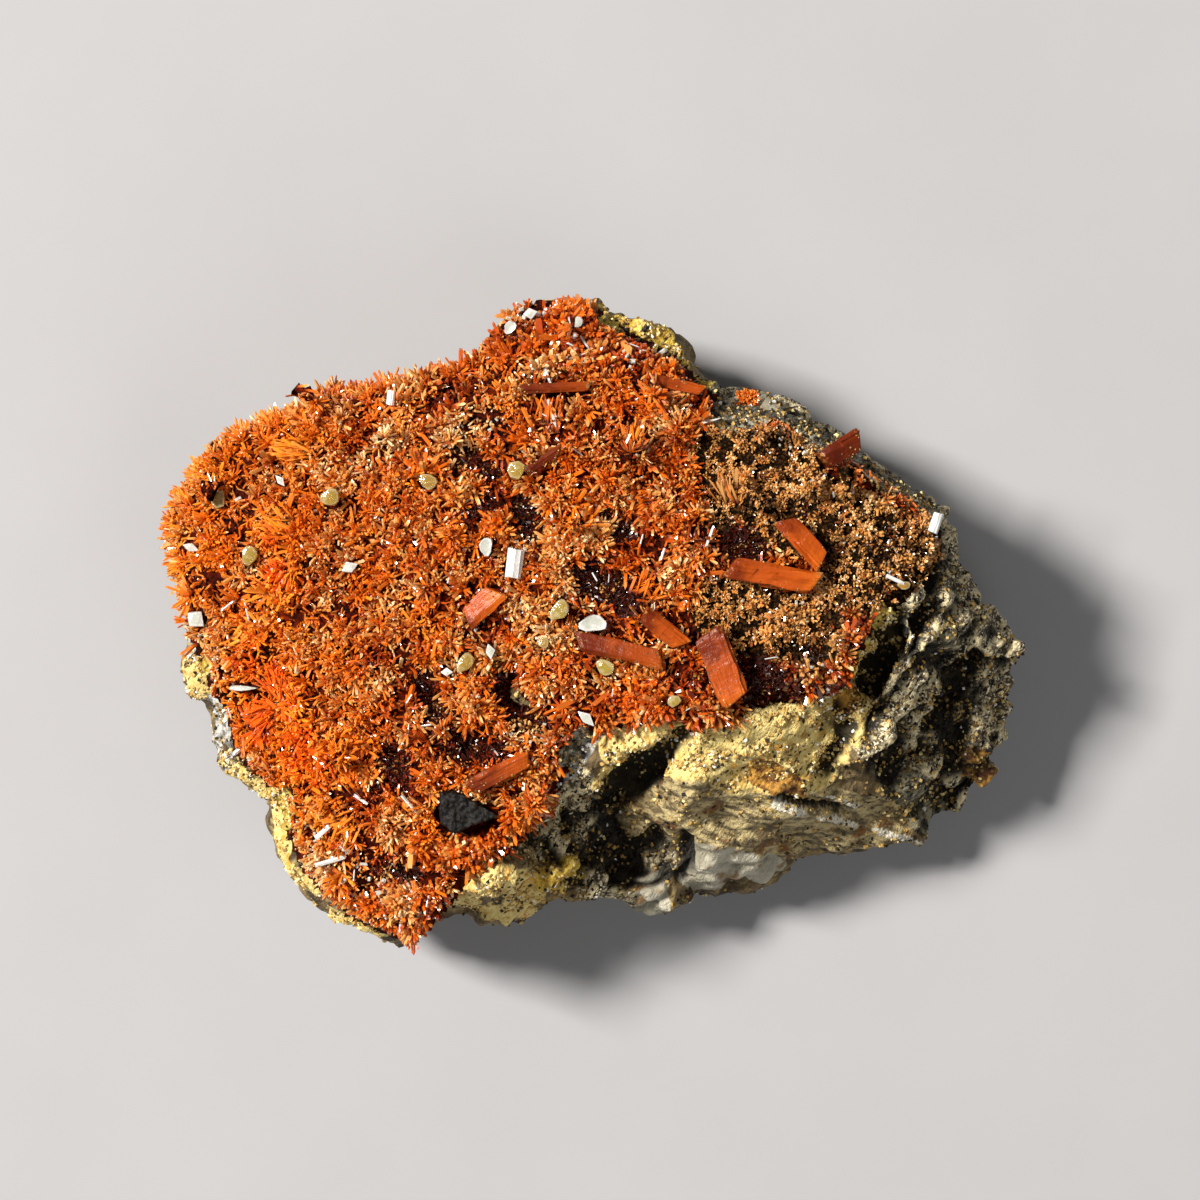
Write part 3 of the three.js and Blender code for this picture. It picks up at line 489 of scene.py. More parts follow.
def limonite_grains():
    """Grains of the gossan: black, brown, gold, tan and a few white ones, of clear quartz and painted glints.
    """
    material, tree = new_material("limonite grains, sparkling")
    tint = add(tree, "Attribute", output="Fac", attribute_name="tint")
    colour = mottled(tree, "#1C1710", "#6A5430", tint, 0.1, 0.3)
    colour = mottled(tree, colour, "#C09A4E", tint, 0.35, 0.5)
    colour = mottled(tree, colour, "#F0DC9A", tint, 0.55, 0.8)
    colour = mottled(tree, colour, "#F2F2EA", tint, 0.93, 0.97)
    shader = add(tree, "BsdfPrincipled", {"Base Color": colour, "Roughness": 0.65, "IOR": 1.5})
    add(tree, "OutputMaterial", {"Surface": shader})
    return material


def black_gossan():
    """A chip of manganese-black gossan: dull and gritty."""
    material, tree = new_material("black gossan, gritty")
    grit = grain_of(tree, 0.4)
    colour = mottled(tree, "#0A0908", "#2E2822", grit, 0.45, 0.72)
    bump = add(tree, "Bump", {"Height": grit, "Strength": 0.9, "Distance": 0.2 * MM})
    shader = add(tree, "BsdfPrincipled", {
        "Base Color": colour, "Roughness": 0.6, "Specular IOR Level": 0.25, "Normal": bump,
    })
    add(tree, "OutputMaterial", {"Surface": shader})
    return material


def plain_floor():
    """Matt paper sweep, pale grey."""
    material, tree = new_material("paper sweep, matt")
    colour = mottled(tree, "#A4A4A6", "#A8A8AA", grain_of(tree, 40), 0.2, 0.8)
    shader = add(tree, "BsdfPrincipled", {"Base Color": colour, "Roughness": 0.9})
    add(tree, "OutputMaterial", {"Surface": shader})
    return material


# ---- Shapes that repeat ---------------------------------------------------------------------------


def unit(vectors):
    return vectors / np.maximum(np.linalg.norm(vectors, axis=-1, keepdims=True), 1e-12)


def taken_apart(obj):
    """A modelled shape's points and triangles. The shape itself is removed. An extrusion leaves its faces
    in another order each run, and what is scattered over them follows that order, so they are sorted."""
    modify(obj, "TRIANGULATE")
    points = points_of(obj.data)
    faces = np.array([list(face.vertices) for face in obj.data.polygons])
    faces = np.array([np.roll(face, -face.argmin()) for face in faces])
    bpy.data.objects.remove(obj)
    return points, faces[np.lexsort(faces.T[::-1])]


def edit_faces(obj, along):
    """Goes into edit mode with only the faces selected that look along one way: along reads from a normal
    how far it points that way, up to 1."""
    bpy.ops.object.mode_set(mode="EDIT")
    bpy.ops.mesh.select_all(action="DESELECT")
    bpy.ops.object.mode_set(mode="OBJECT")
    for face in obj.data.polygons:
        face.select = along(face.normal) > 0.9
    bpy.ops.object.mode_set(mode="EDIT")


def needle_shape(sides, tip, tip_length, turn=0.0):
    """A unit crystal along +Z from the origin: a prism that ends in a point, a ridge or a slope. A prism of
    four sides is turned before it gets a ridge, which then ends above two of its sides and not at corners."""
    deselect()
    bpy.ops.mesh.primitive_cylinder_add(
        vertices=sides, radius=0.5, depth=1 - tip_length, location=(0, 0, (1 - tip_length) / 2),
        rotation=(0, 0, turn),
    )
    obj = bpy.context.active_object
    bpy.ops.object.transform_apply(location=True, rotation=True, scale=True)
    edit_faces(obj, lambda normal: normal.z)
    bpy.ops.mesh.extrude_region_move(TRANSFORM_OT_translate={"value": (0, 0, tip_length)})
    if tip == "point":
        bpy.ops.mesh.merge(type="CENTER")
    elif tip == "ridge":
        bpy.ops.transform.resize(value=(0.8, 0, 1), center_override=(0, 0, 1))
    else:
        bpy.ops.transform.resize(value=(0, 0.7, 1), center_override=(0.3, 0, 1))
    bpy.ops.mesh.select_all(action="SELECT")
    bpy.ops.mesh.remove_doubles(threshold=0.001)
    bpy.ops.object.mode_set(mode="OBJECT")
    return taken_apart(obj)


PRISM_STEPS = 12
PRISM_BODY = 0.96  # of the unit prism's length, between its two raised ends
PRISM_END = 0.02


def prism_shape():
    """A unit prism of six sides along Z, centred, with a crest along its top, made in steps along its
    length, its edges and ends bevelled."""
    deselect()
    step = PRISM_BODY / PRISM_STEPS
    bpy.ops.mesh.primitive_cylinder_add(
        vertices=6, radius=0.5, depth=step, location=(0, 0, (step - PRISM_BODY) / 2),
    )
    obj = bpy.context.active_object
    bpy.ops.object.transform_apply(location=True, rotation=True, scale=True)
    edit_faces(obj, lambda normal: normal.z)
    for _ in range(PRISM_STEPS - 1):
        bpy.ops.mesh.extrude_region_move(TRANSFORM_OT_translate={"value": (0, 0, step)})
    edit_faces(obj, lambda normal: abs(normal.z))
    bpy.ops.mesh.inset(thickness=0.12, depth=PRISM_END)
    bpy.ops.object.mode_set(mode="OBJECT")
    modify(obj, "BEVEL", width=0.035, segments=1, limit_method="ANGLE", angle_limit=math.radians(35))
    points, faces = taken_apart(obj)
    return points / np.ptp(points, axis=0), faces


def tablet_shape(sides, step):
    """A unit tablet, centred, its flats across Y: rounded by growth, each flat raised in a step, or dished
    where the step is below 0."""
    deselect()
    bpy.ops.mesh.primitive_cylinder_add(vertices=sides, radius=0.5, depth=0.3, rotation=(math.pi / 2, 0, 0))
    obj = bpy.context.active_object
    bpy.ops.object.transform_apply(location=True, rotation=True, scale=True)
    edit_faces(obj, lambda normal: abs(normal.y))
    bpy.ops.mesh.inset(thickness=0.12, depth=0.16)
    bpy.ops.mesh.inset(thickness=abs(step), depth=step)
    bpy.ops.mesh.poke(offset=step / 2)
    bpy.ops.object.mode_set(mode="OBJECT")
    for vertex in obj.data.vertices:
        angle = math.atan2(vertex.co.z, vertex.co.x)
        swell = 1 + 0.1 * math.sin(2 * angle + sides) + 0.09 * math.sin(3 * angle + step * 40)
        vertex.co.x *= swell
        vertex.co.z *= swell
    modify(obj, "BEVEL", width=0.06, segments=2, limit_method="ANGLE", angle_limit=math.radians(28))
    return taken_apart(obj)


def ribbed_shape():
    """A unit prism along Z, centred, with ribs down its length and a narrower, stepped end."""
    deselect()
    bpy.ops.mesh.primitive_cylinder_add(vertices=20, radius=0.5, depth=0.64)
    obj = bpy.context.active_object
    for number, vertex in enumerate(obj.data.vertices):
        vertex.co.xy *= 0.88 if number // 2 % 2 else 1.0
    edit_faces(obj, lambda normal: abs(normal.z))
    bpy.ops.mesh.inset(thickness=0.05, depth=0.08)
    bpy.ops.mesh.inset(thickness=0.1, depth=0.07)
    bpy.ops.mesh.inset(thickness=0.14, depth=0.03)
    bpy.ops.object.mode_set(mode="OBJECT")
    return taken_apart(obj)


def crumb_shape(seed):
    """A unit crumb of rock: a block pushed out of square."""
    deselect()
    bpy.ops.mesh.primitive_cube_add(size=0.8)
    obj = bpy.context.active_object
    for vertex in obj.data.vertices:
        vertex.co += noise.noise_vector(vertex.co * 3 + Vector((seed, 0, 0))) * 0.5
    return taken_apart(obj)


def crumb_shapes():
    """Three crumbs to copy."""
    return [crumb_shape(seed) for seed in (3, 5, 9)]


def crumb_table(places, normals, size):
    """Crumbs of rock as a table for grow, each turned at random but somewhat outwards."""
    number = len(places)
    return {
        "root": places, "direction": unit(rng.normal(size=(number, 3)) + normals * 0.3),
        "length": size, "width": size * rng.uniform(0.6, 1, number),
        "thick": size * rng.uniform(0.5, 1, number), "kind": rng.integers(0, 3, number),
    }


def mesh_object(name, points, faces):
    """An object of triangles."""
    mesh = bpy.data.meshes.new(name)
    mesh.vertices.add(len(points))
    mesh.vertices.foreach_set("co", np.ascontiguousarray(points, np.float32).ravel())
    mesh.loops.add(faces.size)
    mesh.loops.foreach_set("vertex_index", np.ascontiguousarray(faces, np.int32).ravel())
    mesh.polygons.add(len(faces))
    mesh.polygons.foreach_set("loop_start", np.arange(0, faces.size, 3, dtype=np.int32))
    mesh.update(calc_edges=True)
    obj = bpy.data.objects.new(name, mesh)
    bpy.context.scene.collection.objects.link(obj)
    return obj


def grow(name, shapes, crystals):
    """One object of many crystals. For each, crystals holds its root, direction, length, width, thickness
    and the number of the shape that it copies. Whatever else it holds is kept as an attribute."""
    own = {"root", "direction", "length", "width", "thick", "kind"}
    extra = [key for key in crystals if key not in own]
    all_points, all_faces, kept = [], [], {key: [] for key in [*extra, "along"]}
    count = 0
    for kind, (points, faces) in enumerate(shapes):
        chosen = np.flatnonzero(crystals["kind"] == kind)
        direction = unit(crystals["direction"][chosen])
        side = unit(np.cross(direction, unit(rng.normal(size=(len(chosen), 3)))))
        axes = np.stack([side, np.cross(direction, side), direction], axis=1)
        sizes = np.stack([crystals[key][chosen] for key in ("width", "thick", "length")], axis=1)
        local = points[None] * sizes[:, None, :]
        all_points.append((crystals["root"][chosen][:, None, :] + local @ axes).reshape(-1, 3))
        starts = count + np.arange(len(chosen)) * len(points)
        all_faces.append((faces[None] + starts[:, None, None]).reshape(-1, 3))
        count += len(chosen) * len(points)
        kept["along"].append(np.tile(points[:, 2], len(chosen)))
        for key in extra:
            kept[key].append(np.repeat(crystals[key][chosen], len(points)))
    obj = mesh_object(name, np.concatenate(all_points), np.concatenate(all_faces))
    for key, values in kept.items():
        store(obj.data, key, np.concatenate(values))
    shade(obj, False)
    return obj


def scatter(obj, weight, number):
    """Random places on a mesh, more of them where the weight is more. Returns the places, the normals and
    a function that reads one value of a vertex at each place."""
    corners = corners_of(obj.data)
    area = np.empty(len(corners), np.float32)
    obj.data.loop_triangles.foreach_get("area", area)
    area = area * weight[corners].mean(1)
    chosen = corners[rng.choice(len(area), number, p=area / area.sum())]
    share = rng.dirichlet((1, 1, 1), number)

    def at_places(values):
        if values.ndim == 1:
            return (values[chosen] * share).sum(1)
        return (values[chosen] * share[:, :, None]).sum(1)

    return at_places(points_of(obj.data)), unit(at_places(normals_of(obj.data))), at_places


def ripple(points, size_mm, seed):
    """A smooth random number from about -1 to 1 over the specimen, whose waves are size_mm long."""
    waves = np.random.default_rng(seed)
    total = np.zeros(len(points))
    for _ in range(6):
        heading = waves.random() * math.tau
        step = math.tau / (size_mm * MM * (0.7 + 0.6 * waves.random()))
        distance = points[:, 0] * math.cos(heading) + points[:, 1] * math.sin(heading)
        total += np.sin(step * distance + waves.random() * math.tau)
    return total / 2.4


# ---- The rock -------------------------------------------------------------------------------------

THIN_SHARE = 0.4  # how much of its own thickness a thin part can lose from each side
ROCK_VOXEL = 0.5  # mm
GRAIN_SIZES = (0.15, 0.5)  # mm
PALE_GRAINS, DARK_GRAINS, RIM_GRAINS = 4500, 9000, 1400


def domes(points, size_mm, warp=0.4):
    """Rounded knobs about size_mm across: 1 on top of each, 0 in the gaps between them."""
    heights = np.empty(len(points))
    for i, point in enumerate(points / (size_mm * MM)):
        place = Vector(point)
        place += noise.noise_vector(place * 0.8) * warp
        heights[i] = noise.voronoi(place)[0][0]
    return 1 - np.clip(heights / 0.8, 0, 1) ** 2


def lumps(points, size_mm):
    """Rough lumps about size_mm across, from about -1 to 1."""
    places = points / (size_mm * MM)
    return np.array([noise.fractal(Vector(place), 0.7, 2.1, 4) for place in places])


def blocks(points, size_mm, turn=0.0, stretch=1.0):
    """Broken blocks about size_mm across, drawn out along a compass direction: each has its own height
    and tilt, and there is a crevice between them. From about -1 to 1."""
    c, s = math.cos(turn), math.sin(turn)
    turned = points @ np.array([[c, -s, 0], [s, c, 0], [0, 0, 1]])
    places = turned / (size_mm * MM) / np.array([stretch, 1, 1])
    heights = np.empty(len(points))
    for i, place in enumerate(places):
        warped = Vector(place) + noise.noise_vector(Vector(place) * 1.6) * 0.3
        distances, centres = noise.voronoi(warped)
        slope = (warped - centres[0]).dot(noise.noise_vector(centres[0] * 3.1))
        crevice = max(0.0, 1 - (distances[1] - distances[0]) / 0.14)
        heights[i] = noise.noise(centres[0] * 4.7) + 1.3 * slope - 0.7 * crevice
    return np.clip(1.4 * heights, -1, 1)


def layers(points):
    """The edges of thin layers that run along the flank, from 0 to 1."""
    turn = math.radians(-14)
    depth = points[:, 1] * math.cos(turn) - points[:, 0] * math.sin(turn) + points[:, 2] * 0.4
    depth = depth / MM + 0.7 * ripple(points, 13, 31) + 0.35 * ripple(points, 5, 32)
    step = depth / 1.5
    return (step - np.floor(step)) ** 2


def evened(mesh, values, rounds):
    """Each vertex's values averaged with its neighbours', over and over for some rounds."""
    ends = np.empty(len(mesh.edges) * 2, np.int32)
    mesh.edges.foreach_get("vertices", ends)
    first, second = ends.reshape(-1, 2).T
    count = 1 + np.bincount(ends, minlength=len(values))
    for _ in range(rounds):
        total = values.copy()
        np.add.at(total, first, values[second])
        np.add.at(total, second, values[first])
        values = total / (count[:, None] if values.ndim == 2 else count)
    return values


def push(obj, depth_mm):
    """Moves each point of a mesh out along its normal, evened so that near points don't cross."""
    ways = unit(evened(obj.data, normals_of(obj.data), 8))
    moved = points_of(obj.data) + ways * depth_mm[:, None] * MM
    obj.data.vertices.foreach_set("co", moved.astype(np.float32).ravel())
    obj.data.update()


def ray_tree(obj):
    """An object's faces, for casting rays at them."""
    faces = [list(face.vertices) for face in obj.data.polygons]
    return BVHTree.FromPolygons(points_of(obj.data).tolist(), faces)


def top_over(obj, points):
    """How high an object's top stands over each point's place in plan, and a metre down where it has
    none."""
    tree = ray_tree(obj)
    heights = np.full(len(points), -1.0)
    for i, point in enumerate(points):
        hit = tree.ray_cast(Vector((point[0], point[1], 1)), Vector((0, 0, -1)))[0]
        if hit:
            heights[i] = hit.z
    return heights


def thickness_along(obj, directions):
    """How thick an object is, in millimetres, from each of its points along a direction."""
    points = points_of(obj.data)
    tree = ray_tree(obj)
    thickness = np.zeros(len(points))
    for i, (point, direction) in enumerate(zip(points, directions)):
        heading = Vector(direction)
        distance = tree.ray_cast(Vector(point) + heading * 0.05 * MM, heading)[3]
        thickness[i] = distance or 0.0
    return thickness / MM


def make_rock(bed, material, grain_material):
    """The gossan: crags, layers and knobs by place, kept below the druse's bed, with grains over it."""
    rock = copy_of("matrix", "gossan_rock")
    modify(rock, "REMESH", mode="VOXEL", voxel_size=ROCK_VOXEL * MM)
    modify(rock, "SMOOTH", factor=0.8, iterations=5)
    points, normals = points_of(rock.data), normals_of(rock.data)
    rise = normals[:, 2]
    weights = {name: zone(points, lines) for name, lines in ROCK_ZONES.items()}
    facing_up = np.clip((rise - 0.06 + 0.2 * ripple(points, 6, 45)) * 4, 0, 1)
    for name in weights.keys() - {"dark"}:
        weights[name] = weights[name] * facing_up
    crevice = weights.pop("crevice")
    dark, layered, ochre = weights["dark"], weights["layered"], weights["ochre"]
    weights["seam"] = weights["seam"] * np.clip(1 + 0.6 * ripple(points, 5, 44), 0, 1)
    craggy = np.clip(0.7 + 1.1 * dark - 0.5 * layered - 0.55 * ochre, 0, 1.8)
    depth = 1.2 * craggy * blocks(points, 5, math.radians(-130), 1.9)
    depth += (0.35 + 0.4 * craggy) * blocks(points, 2.2) + 0.5 * lumps(points, 1.8) * (1 - 0.5 * layered)
    depth += 0.6 * layered * (layers(points) - 0.5) + 0.9 * weights["seam"]
    depth += (0.3 + 0.3 * ochre) * (domes(points, 1.2) - 0.6) - 2.3 * crevice
    standing = np.clip((points[:, 2] - 0.8 * MM) / (1.6 * MM), 0, 1)
    deepest = 0.5 * np.clip(points[:, 2] / MM - 0.8, 0, 8)
    deepest = np.minimum(deepest, THIN_SHARE * thickness_along(rock, -normals))
    depth = evened(rock.data, np.clip(depth, -deepest, 0.8 * standing), 2)
    push(rock, depth + standing * zone(points, LEFT_RIM, 1.2))
    points = points_of(rock.data)
    too_high = points[:, 2] - (top_over(bed, points) - 0.5 * MM)
    under = (too_high > 0) & (too_high < 8 * MM)
    points[under, 2] -= too_high[under]
    rock.data.vertices.foreach_set("co", points.astype(np.float32).ravel())
    rock.data.update()
    for name, values in weights.items():
        store(rock.data, name, values)
    # Painted shade: darker where the rock was pushed in, and in the crevices.
    store(rock.data, "painted_pit_shade", np.clip(-depth / 1.5 + 0.5 * crevice, 0, 1))
    shade(rock, True)
    finish_piece(rock, ["matrix"], material)

    sandy = np.clip(ochre + weights["yellow"], 0, 1)
    # The share of white grains: clear quartz and painted glints, most on the seam, quartz and silver.
    glinting = 0.02 * dark + 0.2 * weights["seam"] + 0.2 * weights["quartz"] + 0.3 * weights["silver"]
    seen = standing * ~under * (0.25 + facing_up)
    pale = np.clip(sandy + 0.2 * weights["seam"] + weights["silver"], 0, 2) * (1 - 0.8 * weights["quartz"])
    patchy = np.clip(0.5 + ripple(points, 4.5, 46), 0.1, 1)
    make_grains("gossan_grains_pale", rock, ["matrix"], seen * pale * patchy, PALE_GRAINS,
                sandy, dark, glinting, grain_material)
    bare = np.clip(0.5 + dark + 0.2 * layered + weights["moss"] - pale - 1.5 * weights["quartz"], 0, 2)
    make_grains("gossan_grains_dark", rock, ["matrix"], seen * bare * patchy, DARK_GRAINS,
                sandy, dark, glinting, grain_material)
    sandy, stony, outer = (value_of(bed, name) for name in ("sandy", "stony", "outer"))
    make_grains("gossan_grains_rim", bed, ["crocoite_crust"], outer * (sandy + stony), RIM_GRAINS,
                sandy, stony, 0.03 * stony, grain_material)


def make_grains(name, ground, nodes, where, number, sandy, darkness, glinting, material):
    """Grains of rock, stuck to the surface of what they lie on."""
    places, normals, read = scatter(ground, where, number)
    size = rng.uniform(*GRAIN_SIZES, number) * MM
    tint = 0.36 - 0.02 * read(darkness) + 0.2 * read(sandy) + rng.normal(scale=0.24, size=number)
    # Some grains turn white: clear quartz, and painted glints.
    tint[rng.random(number) < 0.008 + 0.4 * read(glinting)] = 1.0
    table = crumb_table(places, normals, size)
    table["tint"] = np.clip(tint, 0, 1)
    finish_piece(grow(name, crumb_shapes(), table), nodes, material)


# ---- The druse ------------------------------------------------------------------------------------

HEART = at(-10, 2)  # the druse's middle, which its outer faces look away from
UNDERGROWTH = 1.6  # mm that the druse grows down into the rock, so that its hollows can be deep
BED_VOXEL = 0.6  # mm
PAST_LOW, PAST_HIGH = 0.9, 0.7  # mm that a needle's tip can reach past the low and high sides of the CAD box

# How many crystals of each kind are grown, before those that a single crystal is in the way of are left out.
SPRAYS, IN_SPRAY = 2400, 13
NEEDLES, LONG_NEEDLES = 9600, 500
FINE_SPRAYS, IN_FINE_SPRAY = 1500, 9
DEEP_CRYSTALS = 6200
CERUSSITE_GRAINS = 520
TUFT_NEEDLES = 180

SINGLE_NODES = [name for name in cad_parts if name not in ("matrix", "crocoite_crust", "crocoite_tuft")]


def axes_of(node):
    """A CAD crystal's centre, its unit width, thickness and length axes, and its sizes along them."""
    corners = np.unique(np.round(points_of(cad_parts[node].data), 7), axis=0)
    centre = corners.mean(0)
    length = np.linalg.svd(corners - centre)[2][0]
    width = unit(np.cross([0.0, 0.0, 1.0], length))
    axes = np.array([width, np.cross(length, width), length])
    spans = (corners - centre) @ axes.T
    middle = (spans.max(0) + spans.min(0)) / 2
    return centre + middle @ axes, axes, np.ptp(spans, axis=0)


# Each single crystal's axes, and how much of its half width and half length stays clear of needles.
SINGLES = [
    (*axes_of(name), (0.7, 0.8) if name.startswith("crocoite") else (0.84, 0.9)) for name in SINGLE_NODES
]


def clear_of_singles(points, above):
    """True where a point is neither in a single crystal nor within above, in millimetres, of its broad
    faces. Its outer edge isn't counted, so that what grows beside it can reach a little over it."""
    free = np.ones(len(points), bool)
    for centre, axes, sizes, (wide, long) in SINGLES:
        local = np.abs((points - centre) @ axes.T)
        reach = sizes * np.array([wide, 1, long]) / 2 + np.array([0, above, 0]) * MM
        free &= (local > reach).any(1)
    return free


def make_bed(material):
    """The druse's body: heads of crystal with deep gaps between them, kept below the tips of the needles."""
    bed = copy_of("crocoite_crust", "crocoite_bed")
    modify(bed, "REMESH", mode="VOXEL", voxel_size=BED_VOXEL * MM)
    modify(bed, "SMOOTH", factor=0.8, iterations=16)
    points, normals = points_of(bed.data), normals_of(bed.data)
    away = unit(points[:, :2] - HEART)
    outward = (normals[:, :2] * away).sum(1)
    outer = np.clip((normals[:, 2] + 0.1) * 4, 0, 1)
    outer = np.maximum(outer, np.clip((outward - 0.2) * 3, 0, 1) * (normals[:, 2] > -0.4))
    underside = (outer == 0) & (normals[:, 2] < -0.3)
    flat = zone(points, DRUSE_ZONES["fine"])
    hollow = zone(points, DRUSE_ZONES["hollow"])
    heads = domes(points, 6.2, 0.9) * (1 - 0.5 * flat)
    knob = 0.42 * heads + (0.4 - 0.15 * flat) * domes(points, 2.8, 0.7)
    knob = knob + (0.18 + 0.36 * flat) * domes(points, 1.4, 0.5)
    sink = (0.3 + 3.4 * (1 - knob) + 1.4 * hollow) * np.clip(normals[:, 2], 0.3, 1)
    straight_down = np.tile([0, 0, -1], (len(points), 1))
    deepest = np.minimum(thickness_along(bed, straight_down) + UNDERGROWTH - 0.6, 3.6)
    deepest = np.where(normals[:, 2] > 0.3, deepest, 1.4)
    deepest = np.minimum(deepest, THIN_SHARE * thickness_along(bed, -normals) + UNDERGROWTH * underside)
    push(bed, UNDERGROWTH * underside - np.clip(sink, 0, deepest) * outer)
    store(bed.data, "outer", outer)
    # knob: how high each head stands, lowered in the hollows; it also sets painted shade on the bed and its
    # needles.
    store(bed.data, "knob", 1.25 * knob * (1 - hollow) - 0.5 * hollow)
    for name in ("fine", "sandy", "stony"):
        store(bed.data, name, zone(points, DRUSE_ZONES[name]))
    shade(bed, True)
    finish_piece(bed, ["crocoite_crust"], material)
    return bed


def sprays(bed, number, in_each, lengths, widths, where):
    """Sprays of needles as a table for grow: those of one spray spread from the same root."""
    places, normals, read = scatter(bed, where, number)
    knob = read(value_of(bed, "knob"))
    up = unit(normals + np.array([0, 0, 0.4]) + 0.3 * rng.normal(size=normals.shape))
    own = np.repeat(np.arange(number), in_each)
    count = len(own)
    lean = rng.uniform(0.1, 1.4, count)
    side = unit(np.cross(up[own], unit(rng.normal(size=(count, 3)))))
    direction = unit(up[own] * np.cos(lean)[:, None] + side * np.sin(lean)[:, None])
    root = places[own] + side * rng.uniform(0, 0.25, count)[:, None] * MM
    size = np.exp(rng.normal(scale=0.18, size=number))[own] * (0.85 + 0.25 * knob[own])
    length = rng.uniform(*lengths, count) * MM * size * (1 - 0.1 * lean)
    width = rng.uniform(*widths, count) * MM * size * (1 + 0.5 * zone(root, DRUSE_ZONES["glassy"]))
    shift = rng.normal(scale=0.13, size=number)[own]
    return needle_table(root, direction, length, width, width * rng.uniform(0.7, 1, count), knob[own], shift)


def druse_needles(bed, number, lengths, widths, lean, where):
    """Needles over the bed as a table for grow. where gives each vertex a weight."""
    places, normals, read = scatter(bed, where, number)
    knob = read(value_of(bed, "knob"))
    glassy = zone(places, DRUSE_ZONES["glassy"])
    up = unit(normals + np.array([0, 0, 0.35]))
    heading = 4 * ripple(places, 3.2, 51) + rng.normal(scale=0.7, size=number)
    side = unit(np.cross(up, np.column_stack([np.cos(heading), np.sin(heading), np.zeros(number)])))
    tilt = rng.uniform(*lean, number)[:, None]
    direction = unit(up * np.cos(tilt) + side * np.sin(tilt))
    scale = np.exp(rng.normal(scale=0.2, size=number)) * (0.85 + 0.3 * knob)
    length = rng.uniform(*lengths, number) * MM * scale
    width = rng.uniform(*widths, number) * MM * scale * (1 + 0.5 * glassy)
    thick = width * rng.uniform(0.5, 1, number)
    return needle_table(places, direction, length, width, thick, knob, 0)


def needle_table(places, direction, length, width, thick, knob, shift):
    """Gives needles their colours by place, with painted shade on those low in the gaps and hollows and
    painted highlight on the heads, and leaves out those that would pierce a single crystal.
    """
    number = len(places)
    fine, bright = zone(places, DRUSE_ZONES["fine"]), zone(places, DRUSE_ZONES["bright"], 1.2)
    glassy, pale = zone(places, DRUSE_ZONES["glassy"]), zone(places, DRUSE_ZONES["pale"])
    left = np.clip(0.5 - (places[:, 0] - at(-8, 0)[0]) / (60 * MM), 0, 1)
    # Needles low in the gaps and hollows, where the knob is low, get a darker tint: painted shade.
    tint = 0.04 + 0.45 * knob + 0.22 * left + 0.22 * bright - 0.08 * glassy - 0.1 * fine + shift
    tint += 0.1 * ripple(places, 13, 3) + 0.08 * ripple(places, 4, 4) + rng.normal(scale=0.07, size=number)
    vivid = zone(places, DRUSE_ZONES["vivid"], 1.0)
    tint = np.clip(tint, 0, 1) + 0.4 * vivid
    # Limonite dust, and painted highlight that is stronger on the heads of the knobs.
    dust_and_highlight = 0.09 + 0.2 * ripple(places, 7, 5) + 0.16 * ripple(places, 1.7, 6) + 0.34 * pale
    dust_and_highlight += 0.2 * rng.normal(size=number)
    dust_and_highlight += 0.05 * fine - 0.12 * bright - 0.2 * glassy + 0.3 * knob - 0.5 * vivid
    root = places - direction * 0.2 * MM
    tip = root + direction * length[:, None]
    table = {
        "root": root, "direction": direction, "length": length, "width": width, "thick": thick,
        "kind": rng.choice(3, number, p=(0.5, 0.25, 0.25)), "tint": tint, "dust_and_highlight": np.clip(dust_and_highlight, 0, 1),
        "earthy": fine * rng.uniform(0.4, 1.2, number),
    }
    keep = clear_of_singles(root, 0.2) & clear_of_singles(tip, 3) & clear_of_singles((root + tip) / 2, 3)
    keep &= (zone(tip, BARE_RIMS) < 0.6) & (zone(root, BARE_RIMS) < 0.85)
    low = np.array(cad_box[0]) - PAST_LOW * MM
    high = np.array(cad_box[1]) + PAST_HIGH * MM
    keep &= ((tip > low) & (tip < high)).all(1)
    return part_of(table, keep)


def top_near(tops, place, reach_mm):
    """The height of the highest of some points within a reach of a place."""
    return tops[np.linalg.norm(tops[:, :2] - place, axis=1) < reach_mm * MM, 2].max()


# Fans of orange blades: where each one starts, its compass heading and spread in degrees, the length of
# its blades in millimetres and how many there are.
FANS = [
    ((-33.8, 19.8), 172, 26, 3.8, 18), ((-36.4, -7.8), 118, 46, 3.2, 20), ((-37, -6.4), 60, 40, 2.6, 14),
    ((-37.6, -9.8), 205, 40, 3.0, 18), ((-39.2, -10.6), 95, 40, 2.6, 14),
    ((-35.4, -8.8), 330, 50, 2.4, 12), ((-39, -12), 250, 50, 2.8, 14), ((-36, 10.5), 160, 40, 3.0, 14),
    ((-35.4, 6), 250, 30, 2.6, 10), ((-31.4, -14.6), 150, 50, 2.8, 16),
    ((-31.4, -14.6), 320, 50, 2.4, 12), ((-27, -18), 100, 50, 2.4, 12), ((-5.8, 22.6), 95, 26, 3.4, 12),
    ((5.5, 14), 200, 30, 2.6, 10), ((14.6, 14.5), 110, 24, 3.2, 8), ((-24.6, 15.4), 260, 40, 2.6, 10),
    ((-41, -1.5), 20, 50, 2.4, 12), ((-29, -22), 230, 50, 2.6, 12), ((4.4, 3.4), 40, 40, 2.8, 10),
    ((9.6, 7.6), 250, 60, 2.8, 14), ((3.6, 20.4), 60, 50, 2.6, 12),
]


